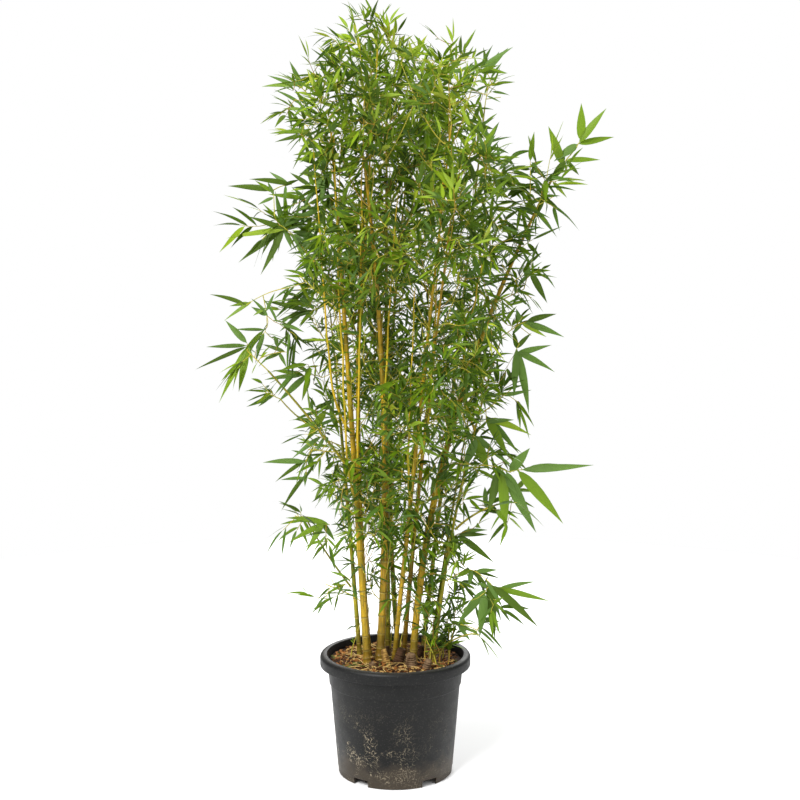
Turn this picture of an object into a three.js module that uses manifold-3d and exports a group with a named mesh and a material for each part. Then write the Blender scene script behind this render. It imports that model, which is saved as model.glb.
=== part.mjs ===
// A clump of bamboo in a round nursery pot, in millimetres with +Z up.
// The origin is the middle of the pot's flat underside, the front faces -Y and +X is to the right.
// Pot, soil, canes and boughs carry masses of foliage, which a seeded rule grows twig by twig.
import * as THREE from 'three';
import { mergeVertices } from 'three/addons/utils/BufferGeometryUtils.js';
import Module from 'manifold-3d';

const wasm = await Module();
wasm.setup();

// --- Driving dimensions ---

const SEAT = 0.3; // clearance at each seat, so that neighbours touch without overlapping

const POT = {
  height: 223,
  rimRadius: 140,
  lipBottom: 202,
  lipRoll: 7, // radius of the lip's rounded edge
  collarTopRadius: 126,
  collarRadius: 123,
  collarBottom: 168,
  wallTopRadius: 120.8, // just below the collar
  wallFootRadius: 107.8, // just above the inset base ring
  baseRadius: 106,
  baseRing: 12.5, // height of the inset ring round the foot
  wall: 2.5,
  edge: 1.2, // height or width of each small moulded edge
  draft: 2, // how far the step in the floor leans
  floorStep: 84, // radius at which the floor rises over the drainage notches
  floorRise: 14,
  notches: 5,
  notchWidth: 31,
  notchHeight: 12.5,
  notchDepth: 12,
  facets: 30,
  arcSteps: 2,
};

const SOIL = { top: 212, mound: 3, flatRadius: 84, clearance: 0.7 };

// Each cane: where its foot stands, its girth there, its height above the soil,
// its lean at the foot in degrees and the bow that its tip adds, both to the right and to the back.
const CANES = {
  cane_left_thin: { foot: [-67, 18], girth: 9, height: 640, lean: [-4.2, 2.4], bow: [-11, 74] },
  cane_left_thick: { foot: [-52, -31], girth: 12.7, height: 960, lean: [-3.3, -0.4], bow: [-5, -20] },
  cane_left_inner: { foot: [-49, 8], girth: 11, height: 1030, lean: [-4.7, -1.2], bow: [93, 31] },
  cane_centre_thick: { foot: [-29, -11], girth: 15, height: 900, lean: [3.8, -1.6], bow: [-83, -85] },
  cane_centre_rear: { foot: [-14, 37], girth: 11.5, height: 1030, lean: [-0.5, 1.7], bow: [7, 30] },
  cane_back: { foot: [5, 54], girth: 10, height: 920, lean: [-5, 7.3], bow: [100, 30] },
  cane_front_right: { foot: [16, 31], girth: 9.3, height: 800, lean: [4.3, -10.3], bow: [18, -55] },
  cane_front: { foot: [-2, -6], girth: 9, height: 960, lean: [5.5, -9.1], bow: [5, 14] },
  cane_right_thick: { foot: [33, -22], girth: 14, height: 890, lean: [2.9, 0.4], bow: [207, -11] },
  cane_back_right: { foot: [52, 51], girth: 9, height: 1040, lean: [6.9, 6.6], bow: [-4, 14] },
  cane_right_thin: { foot: [71, -28], girth: 7, height: 600, lean: [5.1, -1.6], bow: [66, -9] },
  cane_right_short: { foot: [65, -6], girth: 6.5, height: 490, lean: [8.2, 12], bow: [14, 7] },
};

const CANE = {
  sides: 8,
  steps: 7,
  flare: 1.35, // girth at the soil beside the girth above the flare
  flareShare: 0.02, // of the height
  tipShare: 0.3, // girth at the tip beside the girth at the foot
};

// Each bough: the limb it grows from, how far up that limb, its bearing (0 to the right, 90 to the
// back), its rise above level at each end in degrees, its length and its girth at the foot.
const BOUGHS = {
  bough_left_high: {
    on: 'cane_left_thick', at: 0.73, bearing: 184, rise: [62, 45], length: 150, girth: 5,
  },
  bough_left_long: {
    on: 'cane_left_thick', at: 0.45, bearing: 180, rise: [54, 48], length: 235, girth: 5.5,
  },
  bough_left_side: {
    on: 'bough_left_long', at: 0.42, bearing: 172, rise: [30, 50], length: 85, girth: 3.6,
  },
  bough_left_low: {
    on: 'cane_left_thin', at: 0.3, bearing: 166, rise: [50, 60], length: 150, girth: 4.6,
  },
  bough_right_long: {
    on: 'cane_right_thin', at: 0.49, bearing: -28, rise: [45, 16], length: 115, girth: 4.4,
  },
  bough_right_low: {
    on: 'cane_right_thin', at: 0.15, bearing: -20, rise: [52, 14], length: 85, girth: 4,
  },
};

const BOUGH = { sides: 7, steps: 4, tipShare: 0.62 };

// Each mass of foliage: the limb that carries it, how far up that limb its stem leaves (1 is the
// limb's tip), the stem's bearing and rise, the reach to the middle of the mass, the radius of the
// space that it may fill, its number of leaves and the length of each.
const MASSES = {
  crown_left_rear: [['cane_left_thin', 1], [150, 60], 80, 106, 16, 118],
  crown_left_top: [['cane_left_thick', 1], [180, 58], 84, 100, 16, 118],
  crown_top: [['cane_left_inner', 1], [120, 84], 74, 102, 16, 112],
  crown_front_left: [['cane_centre_thick', 1], [200, 68], 80, 106, 16, 114],
  crown_top_rear: [['cane_centre_rear', 1], [20, 74], 72, 102, 16, 112],
  crown_back: [['cane_back', 1], [80, 60], 78, 106, 16, 118],
  crown_front_right: [['cane_front_right', 1], [-50, 60], 78, 104, 16, 118],
  crown_front: [['cane_front', 1], [-110, 76], 78, 104, 16, 112],
  crown_right_tip: [['cane_right_thick', 1], [-4, 50], 66, 84, 16, 112],
  crown_back_right: [['cane_back_right', 1], [30, 80], 56, 96, 16, 110],
  crown_right: [['cane_right_thin', 1], [0, 34], 50, 86, 16, 104],
  crown_right_rear: [['cane_right_short', 1], [42, 52], 80, 106, 16, 118],

  spray_left_high: [['bough_left_high', 1], [184, 30], 44, 96, 14, 118],
  spray_left_upper: [['cane_left_thick', 0.71], [172, 42], 112, 98, 14, 114],
  spray_left_long: [['bough_left_long', 1], [182, 44], 60, 88, 14, 104],
  spray_left_side: [['bough_left_side', 1], [182, 24], 40, 96, 14, 128],
  spray_left_inner: [['bough_left_long', 0.2], [200, 8], 56, 86, 14, 100],
  spray_left_mid: [['cane_left_thin', 0.66], [176, 22], 60, 92, 14, 104],
  spray_left_low: [['bough_left_low', 1], [178, 20], 34, 94, 14, 112],
  spray_left_foot: [['cane_left_thin', 0.28], [186, 24], 62, 84, 14, 104],

  spray_right_high: [['cane_right_thick', 0.93], [-80, 36], 60, 98, 14, 112],
  spray_right_upper: [['cane_right_thick', 0.78], [-10, 26], 56, 86, 14, 104],
  spray_right_mid: [['cane_right_thin', 0.8], [-12, 40], 78, 92, 14, 112],
  spray_right_inner: [['cane_right_thin', 0.64], [-50, 26], 54, 88, 14, 104],
  spray_right_long: [['bough_right_long', 1], [-12, 2], 36, 120, 14, 150],
  spray_right_lower: [['cane_right_thin', 0.35], [6, 30], 50, 82, 14, 100],
  spray_right_low: [['bough_right_low', 1], [-14, -4], 22, 106, 14, 128],
  spray_right_back: [['cane_back_right', 0.87], [-60, 32], 62, 100, 14, 112],

  front_low: [['cane_centre_thick', 0.4], [-112, 24], 66, 106, 16, 112],
  front_mid: [['cane_front', 0.54], [-84, 26], 64, 106, 16, 112],
  front_high: [['cane_centre_thick', 0.81], [-118, 30], 60, 106, 16, 112],
  front_upper: [['cane_front', 0.8], [-62, 28], 58, 98, 16, 112],
  front_right: [['cane_front_right', 0.72], [-36, 26], 64, 106, 16, 112],
  middle_left: [['cane_left_inner', 0.56], [150, 34], 62, 106, 16, 112],
  middle_top: [['cane_centre_rear', 0.84], [-10, 40], 62, 106, 16, 112],
  middle_right: [['cane_right_thick', 0.56], [24, 30], 60, 104, 16, 112],
  back_low: [['cane_centre_rear', 0.38], [112, 24], 68, 106, 16, 112],
  back_mid: [['cane_back', 0.58], [88, 26], 68, 108, 16, 112],
  back_high: [['cane_back', 0.82], [112, 30], 68, 108, 16, 112],
  back_right: [['cane_back_right', 0.6], [62, 26], 68, 108, 16, 112],
};

const SPRAY = {
  stemGirth: 4.8,
  stemOverrun: -0.1, // how far the stem goes past the middle of its mass, beside the radius
  twigGirth: 4,
  tipShare: 0.85,
  twigs: 4, // side twigs on a stem
  firstTwig: 0.3, // how far up the stem the lowest twig leaves
  twigShare: [0.3, 0.46], // length of a twig beside the radius of its mass
  twigAngle: [55, 88],
  leafRow: [0.45, 1], // where along its twig a leaf may sit
  leafSpread: [30, 84],
  tipLeaves: 0.25, // share of the leaves that sit at a twig's tip
  tipSpread: [0, 24],
  flatSwing: [-18, 18],
  leafRoll: [-45, 45],
  leafVariety: [1.1, 1, 0.9, 0.8], // lengths that a leaf tries in turn, beside its mass's own
  rootDepth: 0.35, // how far past its twig's axis a leaf's root is sunk, beside the twig's radius
  tipRootDepth: 4, // how deep the leaf at a twig's tip is sunk in it
  offers: 20, // leaves offered for each one wanted
  weld: 0.01, // edges shorter than this are closed up
  limbClearance: 1.6,
  borderClearance: 1.2, // between a leaf and the border of its mass's space
};

const LEAF = { widthShare: 0.24, thickShare: 0.02, widest: 0.4 };

const COLOURS = {
  plastic: 0x2c2e30,
  soil: 0x5a3d28,
  cane: 0xb09a36,
  bough: 0x8d7a33,
  crown: 0x5c8f2f,
  spray: 0x3f7a2c,
};

// --- Small helpers ---

const GOLDEN_ANGLE = 137.5;
const UP = new THREE.Vector3(0, 0, 1);

const rad = (degrees) => THREE.MathUtils.degToRad(degrees);
const mix = (a, b, share) => a + (b - a) * share;

/** Unit vector with a bearing from +X towards +Y and a rise above level, in degrees. */
function heading(bearing, rise) {
  const level = Math.cos(rad(rise));
  return new THREE.Vector3(
    level * Math.cos(rad(bearing)), level * Math.sin(rad(bearing)), Math.sin(rad(rise)),
  );
}

/** A seeded Park-Miller generator: the same seed always grows the same mass. */
class Dice {
  constructor(seed) {
    this.state = seed;
  }

  next() {
    this.state = (this.state * 48271) % 2147483647;
    return this.state / 2147483647;
  }

  between([low, high]) {
    return mix(low, high, this.next());
  }
}

function paint(name, geometry, colour, roughness) {
  const material = new THREE.MeshStandardMaterial({ color: colour, roughness, metalness: 0 });
  const mesh = new THREE.Mesh(geometry, material);
  mesh.name = name;
  return mesh;
}

function toSolid(geometry) {
  const bare = geometry.clone();
  bare.deleteAttribute('normal');
  bare.deleteAttribute('uv');
  const merged = mergeVertices(bare, 1e-4);
  return new wasm.Manifold(new wasm.Mesh({
    numProp: 3,
    vertProperties: new Float32Array(merged.attributes.position.array),
    triVerts: new Uint32Array(merged.index.array),
  }));
}

function toGeometry(solid) {
  const mesh = solid.getMesh();
  const geometry = new THREE.BufferGeometry();
  geometry.setAttribute('position', new THREE.BufferAttribute(mesh.vertProperties, 3));
  geometry.setIndex(new THREE.BufferAttribute(mesh.triVerts, 1));
  geometry.computeVertexNormals();
  return geometry;
}

/** Two directions square to a rod's own: every rod's corners are counted from the second. */
function squareTo(ahead) {
  const level = Math.abs(ahead.z) > 0.9 ? new THREE.Vector3(1, 0, 0) : UP;
  const across = new THREE.Vector3().crossVectors(ahead, level).normalize();
  return { across, aside: new THREE.Vector3().crossVectors(across, ahead).normalize() };
}

/** The corners of a ring square to a direction, counted from its middle. */
function ringCorners(ahead, radius, sides) {
  const { across, aside } = squareTo(ahead);
  return Array.from({ length: sides }, (_, i) => {
    const turn = (2 * Math.PI * i) / sides;
    return new THREE.Vector3().addScaledVector(across, radius * Math.sin(turn))
      .addScaledVector(aside, radius * Math.cos(turn));
  });
}

/** A closed tapering rod along a list of points, with a radius at each: a cylinder bent to them. */
function rod(points, radii, sides) {
  const steps = points.length - 1;
  const geometry = new THREE.CylinderGeometry(1, 1, 1, sides, steps);
  const position = geometry.attributes.position;
  for (let i = 0; i < position.count; i += 1) {
    const ring = Math.round((position.getY(i) + 0.5) * steps);
    const ahead = points[Math.min(ring + 1, steps)].clone().sub(points[Math.max(ring - 1, 0)]);
    const { across, aside } = squareTo(ahead.normalize());
    const place = points[ring].clone()
      .addScaledVector(across, position.getX(i) * radii[ring])
      .addScaledVector(aside, position.getZ(i) * radii[ring]);
    position.setXYZ(i, place.x, place.y, place.z);
  }
  return geometry;
}

// --- Limbs ---

/** A cane or bough: a row of points with a radius at each. */
class Limb {
  constructor(name, points, radii, sides) {
    Object.assign(this, { name, points, radii, sides });
  }

  /** Point, direction and radius at a share of the way from the foot to the tip. */
  at(share) {
    const place = share * (this.points.length - 1);
    const step = Math.min(Math.floor(place), this.points.length - 2);
    const [low, high] = [this.points[step], this.points[step + 1]];
    return {
      point: low.clone().lerp(high, place - step),
      ahead: high.clone().sub(low).normalize(),
      radius: mix(this.radii[step], this.radii[step + 1], place - step),
    };
  }

  /** Where a shoot's foot sits, its nearest corner 0.3 mm off this limb: past its tip, or beside it. */
  seat(share, direction, footRadius, sides) {
    const { point, ahead, radius } = this.at(share);
    const outward = share === 1 ? ahead
      : direction.clone().addScaledVector(ahead, -direction.dot(ahead)).normalize();
    const back = Math.max(...ringCorners(direction, footRadius, sides).map((v) => -v.dot(outward)));
    return point.addScaledVector(outward, (share === 1 ? 0 : radius) + SEAT + back);
  }
}

function growCane(name, { foot, girth, height, lean, bow }) {
  const points = [];
  const radii = [];
  for (let step = 0; step <= CANE.steps; step += 1) {
    // The second point ends the flare, and the rest are evenly spaced above it.
    const share = step === 0 ? 0 : mix(CANE.flareShare, 1, (step - 1) / (CANE.steps - 1));
    const rise = share * height;
    points.push(new THREE.Vector3(
      foot[0] + Math.tan(rad(lean[0])) * rise + bow[0] * share ** 2,
      foot[1] + Math.tan(rad(lean[1])) * rise + bow[1] * share ** 2,
      SOIL.top + SEAT + rise,
    ));
    const taper = mix(1, CANE.tipShare, share ** 1.4);
    radii.push((girth / 2) * (step === 0 ? CANE.flare : taper));
  }
  // A level first step gives the foot its flat cut.
  points[1].x = points[0].x;
  points[1].y = points[0].y;
  return new Limb(name, points, radii, CANE.sides);
}

function growBough(name, { on, at, bearing, rise, length, girth }, limbs) {
  const start = heading(bearing, rise[0]);
  const end = heading(bearing, rise[1]);
  const foot = limbs.get(on).seat(at, start, girth / 2, BOUGH.sides);
  const bend = foot.clone().addScaledVector(start, length / 2);
  const tip = bend.clone().addScaledVector(end, length / 2);
  const points = new THREE.QuadraticBezierCurve3(foot, bend, tip).getPoints(BOUGH.steps);
  const radii = points.map((_, i) => (girth / 2) * mix(1, BOUGH.tipShare, i / BOUGH.steps));
  return new Limb(name, points, radii, BOUGH.sides);
}

// --- Foliage ---

/** A straight three-sided twig. */
function makeTwig(foot, tip, girth) {
  return new Limb('twig', [foot, tip], [girth / 2, (girth / 2) * SPRAY.tipShare], 3);
}

/** A twig's solid: the hull of the three corners at each end. */
function twigSolid({ points, radii, sides }) {
  const ahead = points[1].clone().sub(points[0]).normalize();
  return wasm.Manifold.hull(points.flatMap((point, end) => (
    ringCorners(ahead, radii[end], sides).map((corner) => corner.add(point).toArray()))));
}

/** Distance between two straight segments. */
function segmentGap(a, b, c, d) {
  const u = b.clone().sub(a);
  const v = d.clone().sub(c);
  const w = a.clone().sub(c);
  const [uu, uv, vv, uw, vw] = [u.dot(u), u.dot(v), v.dot(v), u.dot(w), v.dot(w)];
  const spread = uu * vv - uv * uv;
  let s = spread > 1e-9 ? THREE.MathUtils.clamp((uv * vw - vv * uw) / spread, 0, 1) : 0;
  const t = THREE.MathUtils.clamp((uv * s + vw) / vv, 0, 1);
  s = THREE.MathUtils.clamp((uv * t - uw) / uu, 0, 1);
  return w.addScaledVector(u, s).addScaledVector(v, -t).length();
}

/** Whether lines that stand for a leaf or twig stay clear of every limb. */
function clearOfLimbs(lines, limbs, margin) {
  return limbs.every((limb) => limb.points.slice(1).every((high, i) => {
    const low = limb.points[i];
    const radius = Math.max(limb.radii[i], limb.radii[i + 1]) + margin;
    return lines.every(([from, to]) => segmentGap(from, to, low, high) > radius);
  }));
}

/** The plan of one mass: its stem, and the ball that its space is cut from. */
function planMass(name, index, limbs) {
  const [[on, at], [bearing, rise], reach, radius, leaves, leafLength] = MASSES[name];
  const limb = limbs.get(on);
  const direction = heading(bearing, rise);
  const foot = limb.seat(at, direction, SPRAY.stemGirth / 2, 3);
  const middle = foot.clone().addScaledVector(direction, reach);
  const tip = middle.clone().addScaledVector(direction, radius * SPRAY.stemOverrun);
  const stem = makeTwig(foot, tip, SPRAY.stemGirth);
  return { name, seed: 7001 + 97 * index, middle, radius, leaves, leafLength, stem };
}

/** Whether a point lies in a mass's own space: inside its ball, and on its side of each border. */
function inSpace(point, mass, masses) {
  const power = point.distanceToSquared(mass.middle) - mass.radius ** 2;
  return power < 0 && masses.every((other) => {
    if (other === mass) {
      return true;
    }
    const margin = 2 * SPRAY.borderClearance * other.middle.distanceTo(mass.middle);
    return power + margin < point.distanceToSquared(other.middle) - other.radius ** 2;
  });
}

/** A leaf as an octahedron from its root: long, narrow, thin and widest below its middle. */
function makeLeaf(root, along, across, length) {
  const face = new THREE.Vector3().crossVectors(across, along);
  const half = new THREE.Vector3(
    (length * LEAF.widthShare) / 2, length / 2, (length * LEAF.thickShare) / 2,
  );
  const corner = (x, y, z) => root.clone()
    .addScaledVector(across, x * half.x)
    .addScaledVector(along, y === 0 ? length * LEAF.widest : half.y * (y + 1))
    .addScaledVector(face, z * half.z);
  const geometry = new THREE.OctahedronGeometry(1);
  const position = geometry.attributes.position;
  for (let i = 0; i < position.count; i += 1) {
    const place = corner(
      Math.round(position.getX(i)), Math.round(position.getY(i)), Math.round(position.getZ(i)),
    );
    position.setXYZ(i, place.x, place.y, place.z);
  }
  const tip = corner(0, 1, 0);
  const lines = [-1, -0.5, 0, 0.5, 1].flatMap((x) => {
    const side = corner(x, 0, 0);
    return [[root, side], [side, tip]];
  });
  const corners = [tip, corner(-1, 0, 0), corner(1, 0, 0)];
  return { geometry, lines, corners, middle: corner(0, 0, 0) };
}

/** Twigs round the stem by the golden angle. */
function growTwigs(mass, masses, obstacles, dice) {
  const twigs = [];
  const turn = 360 * dice.next();
  for (let i = 0; i < SPRAY.twigs; i += 1) {
    const { point, ahead } = mass.stem.at(mix(SPRAY.firstTwig, 1, i / SPRAY.twigs));
    const side = new THREE.Vector3().crossVectors(ahead, UP).normalize();
    side.applyAxisAngle(ahead, rad(turn + GOLDEN_ANGLE * i));
    const lean = rad(dice.between(SPRAY.twigAngle));
    const direction = ahead.clone().multiplyScalar(Math.cos(lean))
      .addScaledVector(side, Math.sin(lean));
    const length = mass.radius * dice.between(SPRAY.twigShare);
    const tip = point.clone().addScaledVector(direction, length);
    if (inSpace(tip, mass, masses)
      && clearOfLimbs([[point, tip]], obstacles, SPRAY.twigGirth / 2 + SPRAY.limbClearance)) {
      twigs.push(makeTwig(point, tip, SPRAY.twigGirth));
    }
  }
  return twigs;
}

/** One leaf offered by the rule, as long as its space lets it be, or null if it fits at no length. */
function offerLeaf(mass, masses, twigs, obstacles, dice) {
  const twig = twigs[Math.floor(twigs.length * dice.next())];
  const atTip = dice.next() < SPRAY.tipLeaves;
  const { point, ahead, radius } = twig.at(atTip ? 1 : dice.between(SPRAY.leafRow));
  const spread = atTip ? dice.between(SPRAY.tipSpread) : dice.between(SPRAY.leafSpread);
  // Each side leaf leaves by the middle of one of its twig's three flats.
  const flat = 60 + 120 * Math.floor(3 * dice.next()) + dice.between(SPRAY.flatSwing);
  const frame = squareTo(ahead);
  const outward = frame.across.multiplyScalar(Math.sin(rad(flat)))
    .addScaledVector(frame.aside, Math.cos(rad(flat)));
  const along = ahead.clone().multiplyScalar(Math.cos(rad(spread)))
    .addScaledVector(outward, Math.sin(rad(spread)));
  const across = new THREE.Vector3().crossVectors(along, UP).normalize();
  across.applyAxisAngle(along, rad(dice.between(SPRAY.leafRoll)));
  const sunk = atTip ? SPRAY.tipRootDepth : radius * SPRAY.rootDepth;
  const root = point.clone().addScaledVector(along, -sunk);
  const others = twigs.filter((other) => other !== twig);
  for (const share of SPRAY.leafVariety) {
    const leaf = makeLeaf(root, along, across, mass.leafLength * share);
    if (leaf.corners.every((corner) => inSpace(corner, mass, masses))
      && clearOfLimbs(leaf.lines, obstacles, SPRAY.limbClearance)
      && clearOfLimbs(leaf.lines, others, 0)) {
      return leaf;
    }
  }
  return null;
}

/** One mass as a single solid: stem, twigs and leaves fused, with each leaf's root sunk well in. */
function growMass(mass, masses, limbs) {
  const dice = new Dice(mass.seed);
  const obstacles = [...limbs, ...masses.filter((other) => other !== mass)
    .map((other) => other.stem)];
  const twigs = [mass.stem, ...growTwigs(mass, masses, obstacles, dice)];
  const leaves = [];
  for (let turn = 0; turn < mass.leaves; turn += 1) {
    // Of the leaves offered in a turn, the one with the most room round its middle is kept.
    const offers = Array.from({ length: SPRAY.offers }, () => (
      offerLeaf(mass, masses, twigs, obstacles, dice))).filter(Boolean);
    const room = ({ middle }) => Math.min(
      mass.radius, ...leaves.map((other) => other.middle.distanceTo(middle)),
    );
    offers.forEach((leaf) => Object.assign(leaf, { room: room(leaf), solid: toSolid(leaf.geometry) }));
    offers.sort((one, other) => other.room - one.room);
    const kept = offers.find(({ solid }) => (
      leaves.every((other) => solid.intersect(other.solid).isEmpty())));
    if (kept) {
      leaves.push(kept);
    }
  }
  const solids = [...twigs.map(twigSolid), ...leaves.map((leaf) => leaf.solid)];
  const parts = wasm.Manifold.union(solids).decompose();
  parts.sort((one, other) => other.volume() - one.volume());
  return toGeometry(parts[0].simplify(SPRAY.weld));
}

// --- Pot and soil ---

/** The pot's outline in the plane of its axis, as [radius, height], up the outside and down inside. */
function potOutline() {
  const path = new THREE.Path();
  path.moveTo(0, 0);
  path.lineTo(POT.floorStep, 0);
  path.lineTo(POT.floorStep + POT.draft, POT.floorRise);
  path.lineTo(POT.baseRadius - POT.wall, POT.floorRise);
  path.lineTo(POT.baseRadius - POT.wall, 0);
  path.lineTo(POT.baseRadius, 0);
  path.lineTo(POT.baseRadius + POT.edge, POT.baseRing);
  path.lineTo(POT.wallFootRadius, POT.baseRing + POT.edge);
  path.lineTo(POT.wallTopRadius, POT.collarBottom);
  path.lineTo(POT.collarRadius, POT.collarBottom + POT.edge);
  path.lineTo(POT.collarTopRadius, POT.lipBottom);
  path.lineTo(POT.rimRadius - POT.edge, POT.lipBottom);
  path.lineTo(POT.rimRadius, POT.lipBottom + 2 * POT.edge);
  const rollMiddle = [POT.rimRadius - POT.lipRoll, POT.height - POT.lipRoll];
  path.absarc(...rollMiddle, POT.lipRoll, 0, Math.PI / 2, false);
  path.lineTo(POT.collarTopRadius + POT.edge, POT.height - POT.edge);
  path.lineTo(POT.collarTopRadius - POT.wall, POT.lipBottom);
  path.lineTo(POT.wallFootRadius - POT.wall, POT.floorRise + POT.wall);
  path.lineTo(POT.floorStep - POT.draft, POT.floorRise + POT.wall);
  path.lineTo(POT.floorStep - 2 * POT.draft, POT.wall);
  path.lineTo(0, POT.wall);
  return path.getPoints(POT.arcSteps);
}

function makePot() {
  const shell = new THREE.LatheGeometry(potOutline(), POT.facets);
  shell.rotateX(Math.PI / 2);
  let solid = toSolid(shell);
  for (let i = 0; i < POT.notches; i += 1) {
    const notch = new THREE.BoxGeometry(POT.notchDepth, POT.notchWidth, 2 * POT.notchHeight);
    notch.translate(POT.baseRadius, 0, 0);
    // The first notch is at the back, so that two flank the front.
    notch.rotateZ(rad(90 + (360 / POT.notches) * i));
    solid = solid.subtract(toSolid(notch));
  }
  return toGeometry(solid);
}

/** Potting mix that follows the pot's inside and rises to a level middle, where the canes stand. */
function makeSoil() {
  const floor = POT.floorRise + POT.wall + SEAT;
  const edge = SOIL.top - SOIL.mound;
  const footRadius = POT.wallFootRadius - POT.wall - SOIL.clearance;
  const wallSlope = (POT.collarTopRadius - POT.wallFootRadius) / (POT.lipBottom - floor);
  const outline = [
    [0, POT.wall + SEAT],
    [POT.floorStep - 2 * POT.draft - SOIL.clearance, POT.wall + SEAT],
    [POT.floorStep - POT.draft - SOIL.clearance, floor],
    [footRadius, floor],
    [footRadius + wallSlope * (POT.lipBottom - floor), POT.lipBottom],
    [footRadius + wallSlope * (POT.lipBottom - floor), edge],
    [SOIL.flatRadius, SOIL.top],
    [0, SOIL.top],
  ].map(([radius, height]) => new THREE.Vector2(radius, height));
  const geometry = new THREE.LatheGeometry(outline, POT.facets);
  geometry.rotateX(Math.PI / 2);
  return toGeometry(toSolid(geometry));
}

// --- The plant ---

const plant = new THREE.Group();
plant.add(paint('pot', makePot(), COLOURS.plastic, 0.6));
plant.add(paint('soil', makeSoil(), COLOURS.soil, 1));

const limbs = new Map();
for (const [name, cane] of Object.entries(CANES)) {
  limbs.set(name, growCane(name, cane));
}
for (const [name, bough] of Object.entries(BOUGHS)) {
  limbs.set(name, growBough(name, bough, limbs));
}
for (const limb of limbs.values()) {
  const colour = limb.name.startsWith('cane') ? COLOURS.cane : COLOURS.bough;
  plant.add(paint(limb.name, rod(limb.points, limb.radii, limb.sides), colour, 0.5));
}

const masses = Object.keys(MASSES).map((name, index) => planMass(name, index, limbs));
for (const mass of masses) {
  const colour = mass.name.startsWith('spray') ? COLOURS.spray : COLOURS.crown;
  plant.add(paint(mass.name, growMass(mass, masses, [...limbs.values()]), colour, 0.6));
}

export default plant;
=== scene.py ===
"""The looks of a potted clump of bamboo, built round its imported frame.

Sizes are in millimetres where they repeat the part's own, and meshes are made in metres.
+Z is up, the origin is the middle of the pot's flat underside and the front faces -Y.
"""
import sys
import logging
import math
from dataclasses import dataclass, field
from enum import Enum
from functools import cache
from typing import Callable, Iterable, Mapping, Sequence

import bpy
import numpy as np
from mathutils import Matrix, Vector, noise


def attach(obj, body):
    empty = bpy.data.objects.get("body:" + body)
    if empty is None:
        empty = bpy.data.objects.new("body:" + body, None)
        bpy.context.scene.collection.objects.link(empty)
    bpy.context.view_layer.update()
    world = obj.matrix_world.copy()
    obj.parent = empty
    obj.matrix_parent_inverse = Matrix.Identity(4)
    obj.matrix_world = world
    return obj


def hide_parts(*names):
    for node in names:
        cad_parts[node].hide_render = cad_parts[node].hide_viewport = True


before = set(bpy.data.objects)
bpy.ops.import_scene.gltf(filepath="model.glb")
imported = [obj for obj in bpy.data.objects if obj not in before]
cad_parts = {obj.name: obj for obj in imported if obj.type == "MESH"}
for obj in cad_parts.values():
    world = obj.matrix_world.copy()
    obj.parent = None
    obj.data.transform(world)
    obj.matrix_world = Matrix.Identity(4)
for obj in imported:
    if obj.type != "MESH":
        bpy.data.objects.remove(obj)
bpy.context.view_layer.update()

LOG = logging.getLogger("potted_bamboo")

Vec = np.ndarray
Point = tuple[float, float, float]
Faces = list[tuple[int, ...]]
Twiglet = tuple[Vec, Vec, Vec]
Tree = bpy.types.NodeTree
Material = bpy.types.Material
Socket = bpy.types.NodeSocket
Sockets = Mapping[str, Socket]
Value = float | Sequence[float] | Socket

MM = 0.001
BODY = "root"
UP = np.array((0.0, 0.0, 1.0))
SEAT = 0.3  # clearance that the solids keep at each seat

# --- Sizes shared with the part's solids, in millimetres ---

# foot x, foot y, girth, height above the soil, lean (x, y) in degrees, bow (x, y)
CANES: dict[str, tuple[float, ...]] = {
    "cane_left_thin": (-67, 18, 9, 640, -4.2, 2.4, -11, 74),
    "cane_left_thick": (-52, -31, 12.7, 960, -3.3, -0.4, -5, -20),
    "cane_left_inner": (-49, 8, 11, 1030, -4.7, -1.2, 93, 31),
    "cane_centre_thick": (-29, -11, 15, 900, 3.8, -1.6, -83, -85),
    "cane_centre_rear": (-14, 37, 11.5, 1030, -0.5, 1.7, 7, 30),
    "cane_back": (5, 54, 10, 920, -5, 7.3, 100, 30),
    "cane_front_right": (16, 31, 9.3, 800, 4.3, -10.3, 18, -55),
    "cane_front": (-2, -6, 9, 960, 5.5, -9.1, 5, 14),
    "cane_right_thick": (33, -22, 14, 890, 2.9, 0.4, 207, -11),
    "cane_back_right": (52, 51, 9, 1040, 6.9, 6.6, -4, 14),
    "cane_right_thin": (71, -28, 7, 600, 5.1, -1.6, 66, -9),
    "cane_right_short": (65, -6, 6.5, 490, 8.2, 12, 14, 7),
}

# limb it grows from, how far up, bearing, rise at each end, length, girth
BOUGHS: dict[str, tuple[str, float, float, float, float, float, float]] = {
    "bough_left_high": ("cane_left_thick", 0.73, 184, 62, 45, 150, 5),
    "bough_left_long": ("cane_left_thick", 0.45, 180, 54, 48, 235, 5.5),
    "bough_left_side": ("bough_left_long", 0.42, 172, 30, 50, 85, 3.6),
    "bough_left_low": ("cane_left_thin", 0.3, 166, 50, 60, 150, 4.6),
    "bough_right_long": ("cane_right_thin", 0.49, -28, 45, 16, 115, 4.4),
    "bough_right_low": ("cane_right_thin", 0.15, -20, 52, 14, 85, 4),
}

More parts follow.
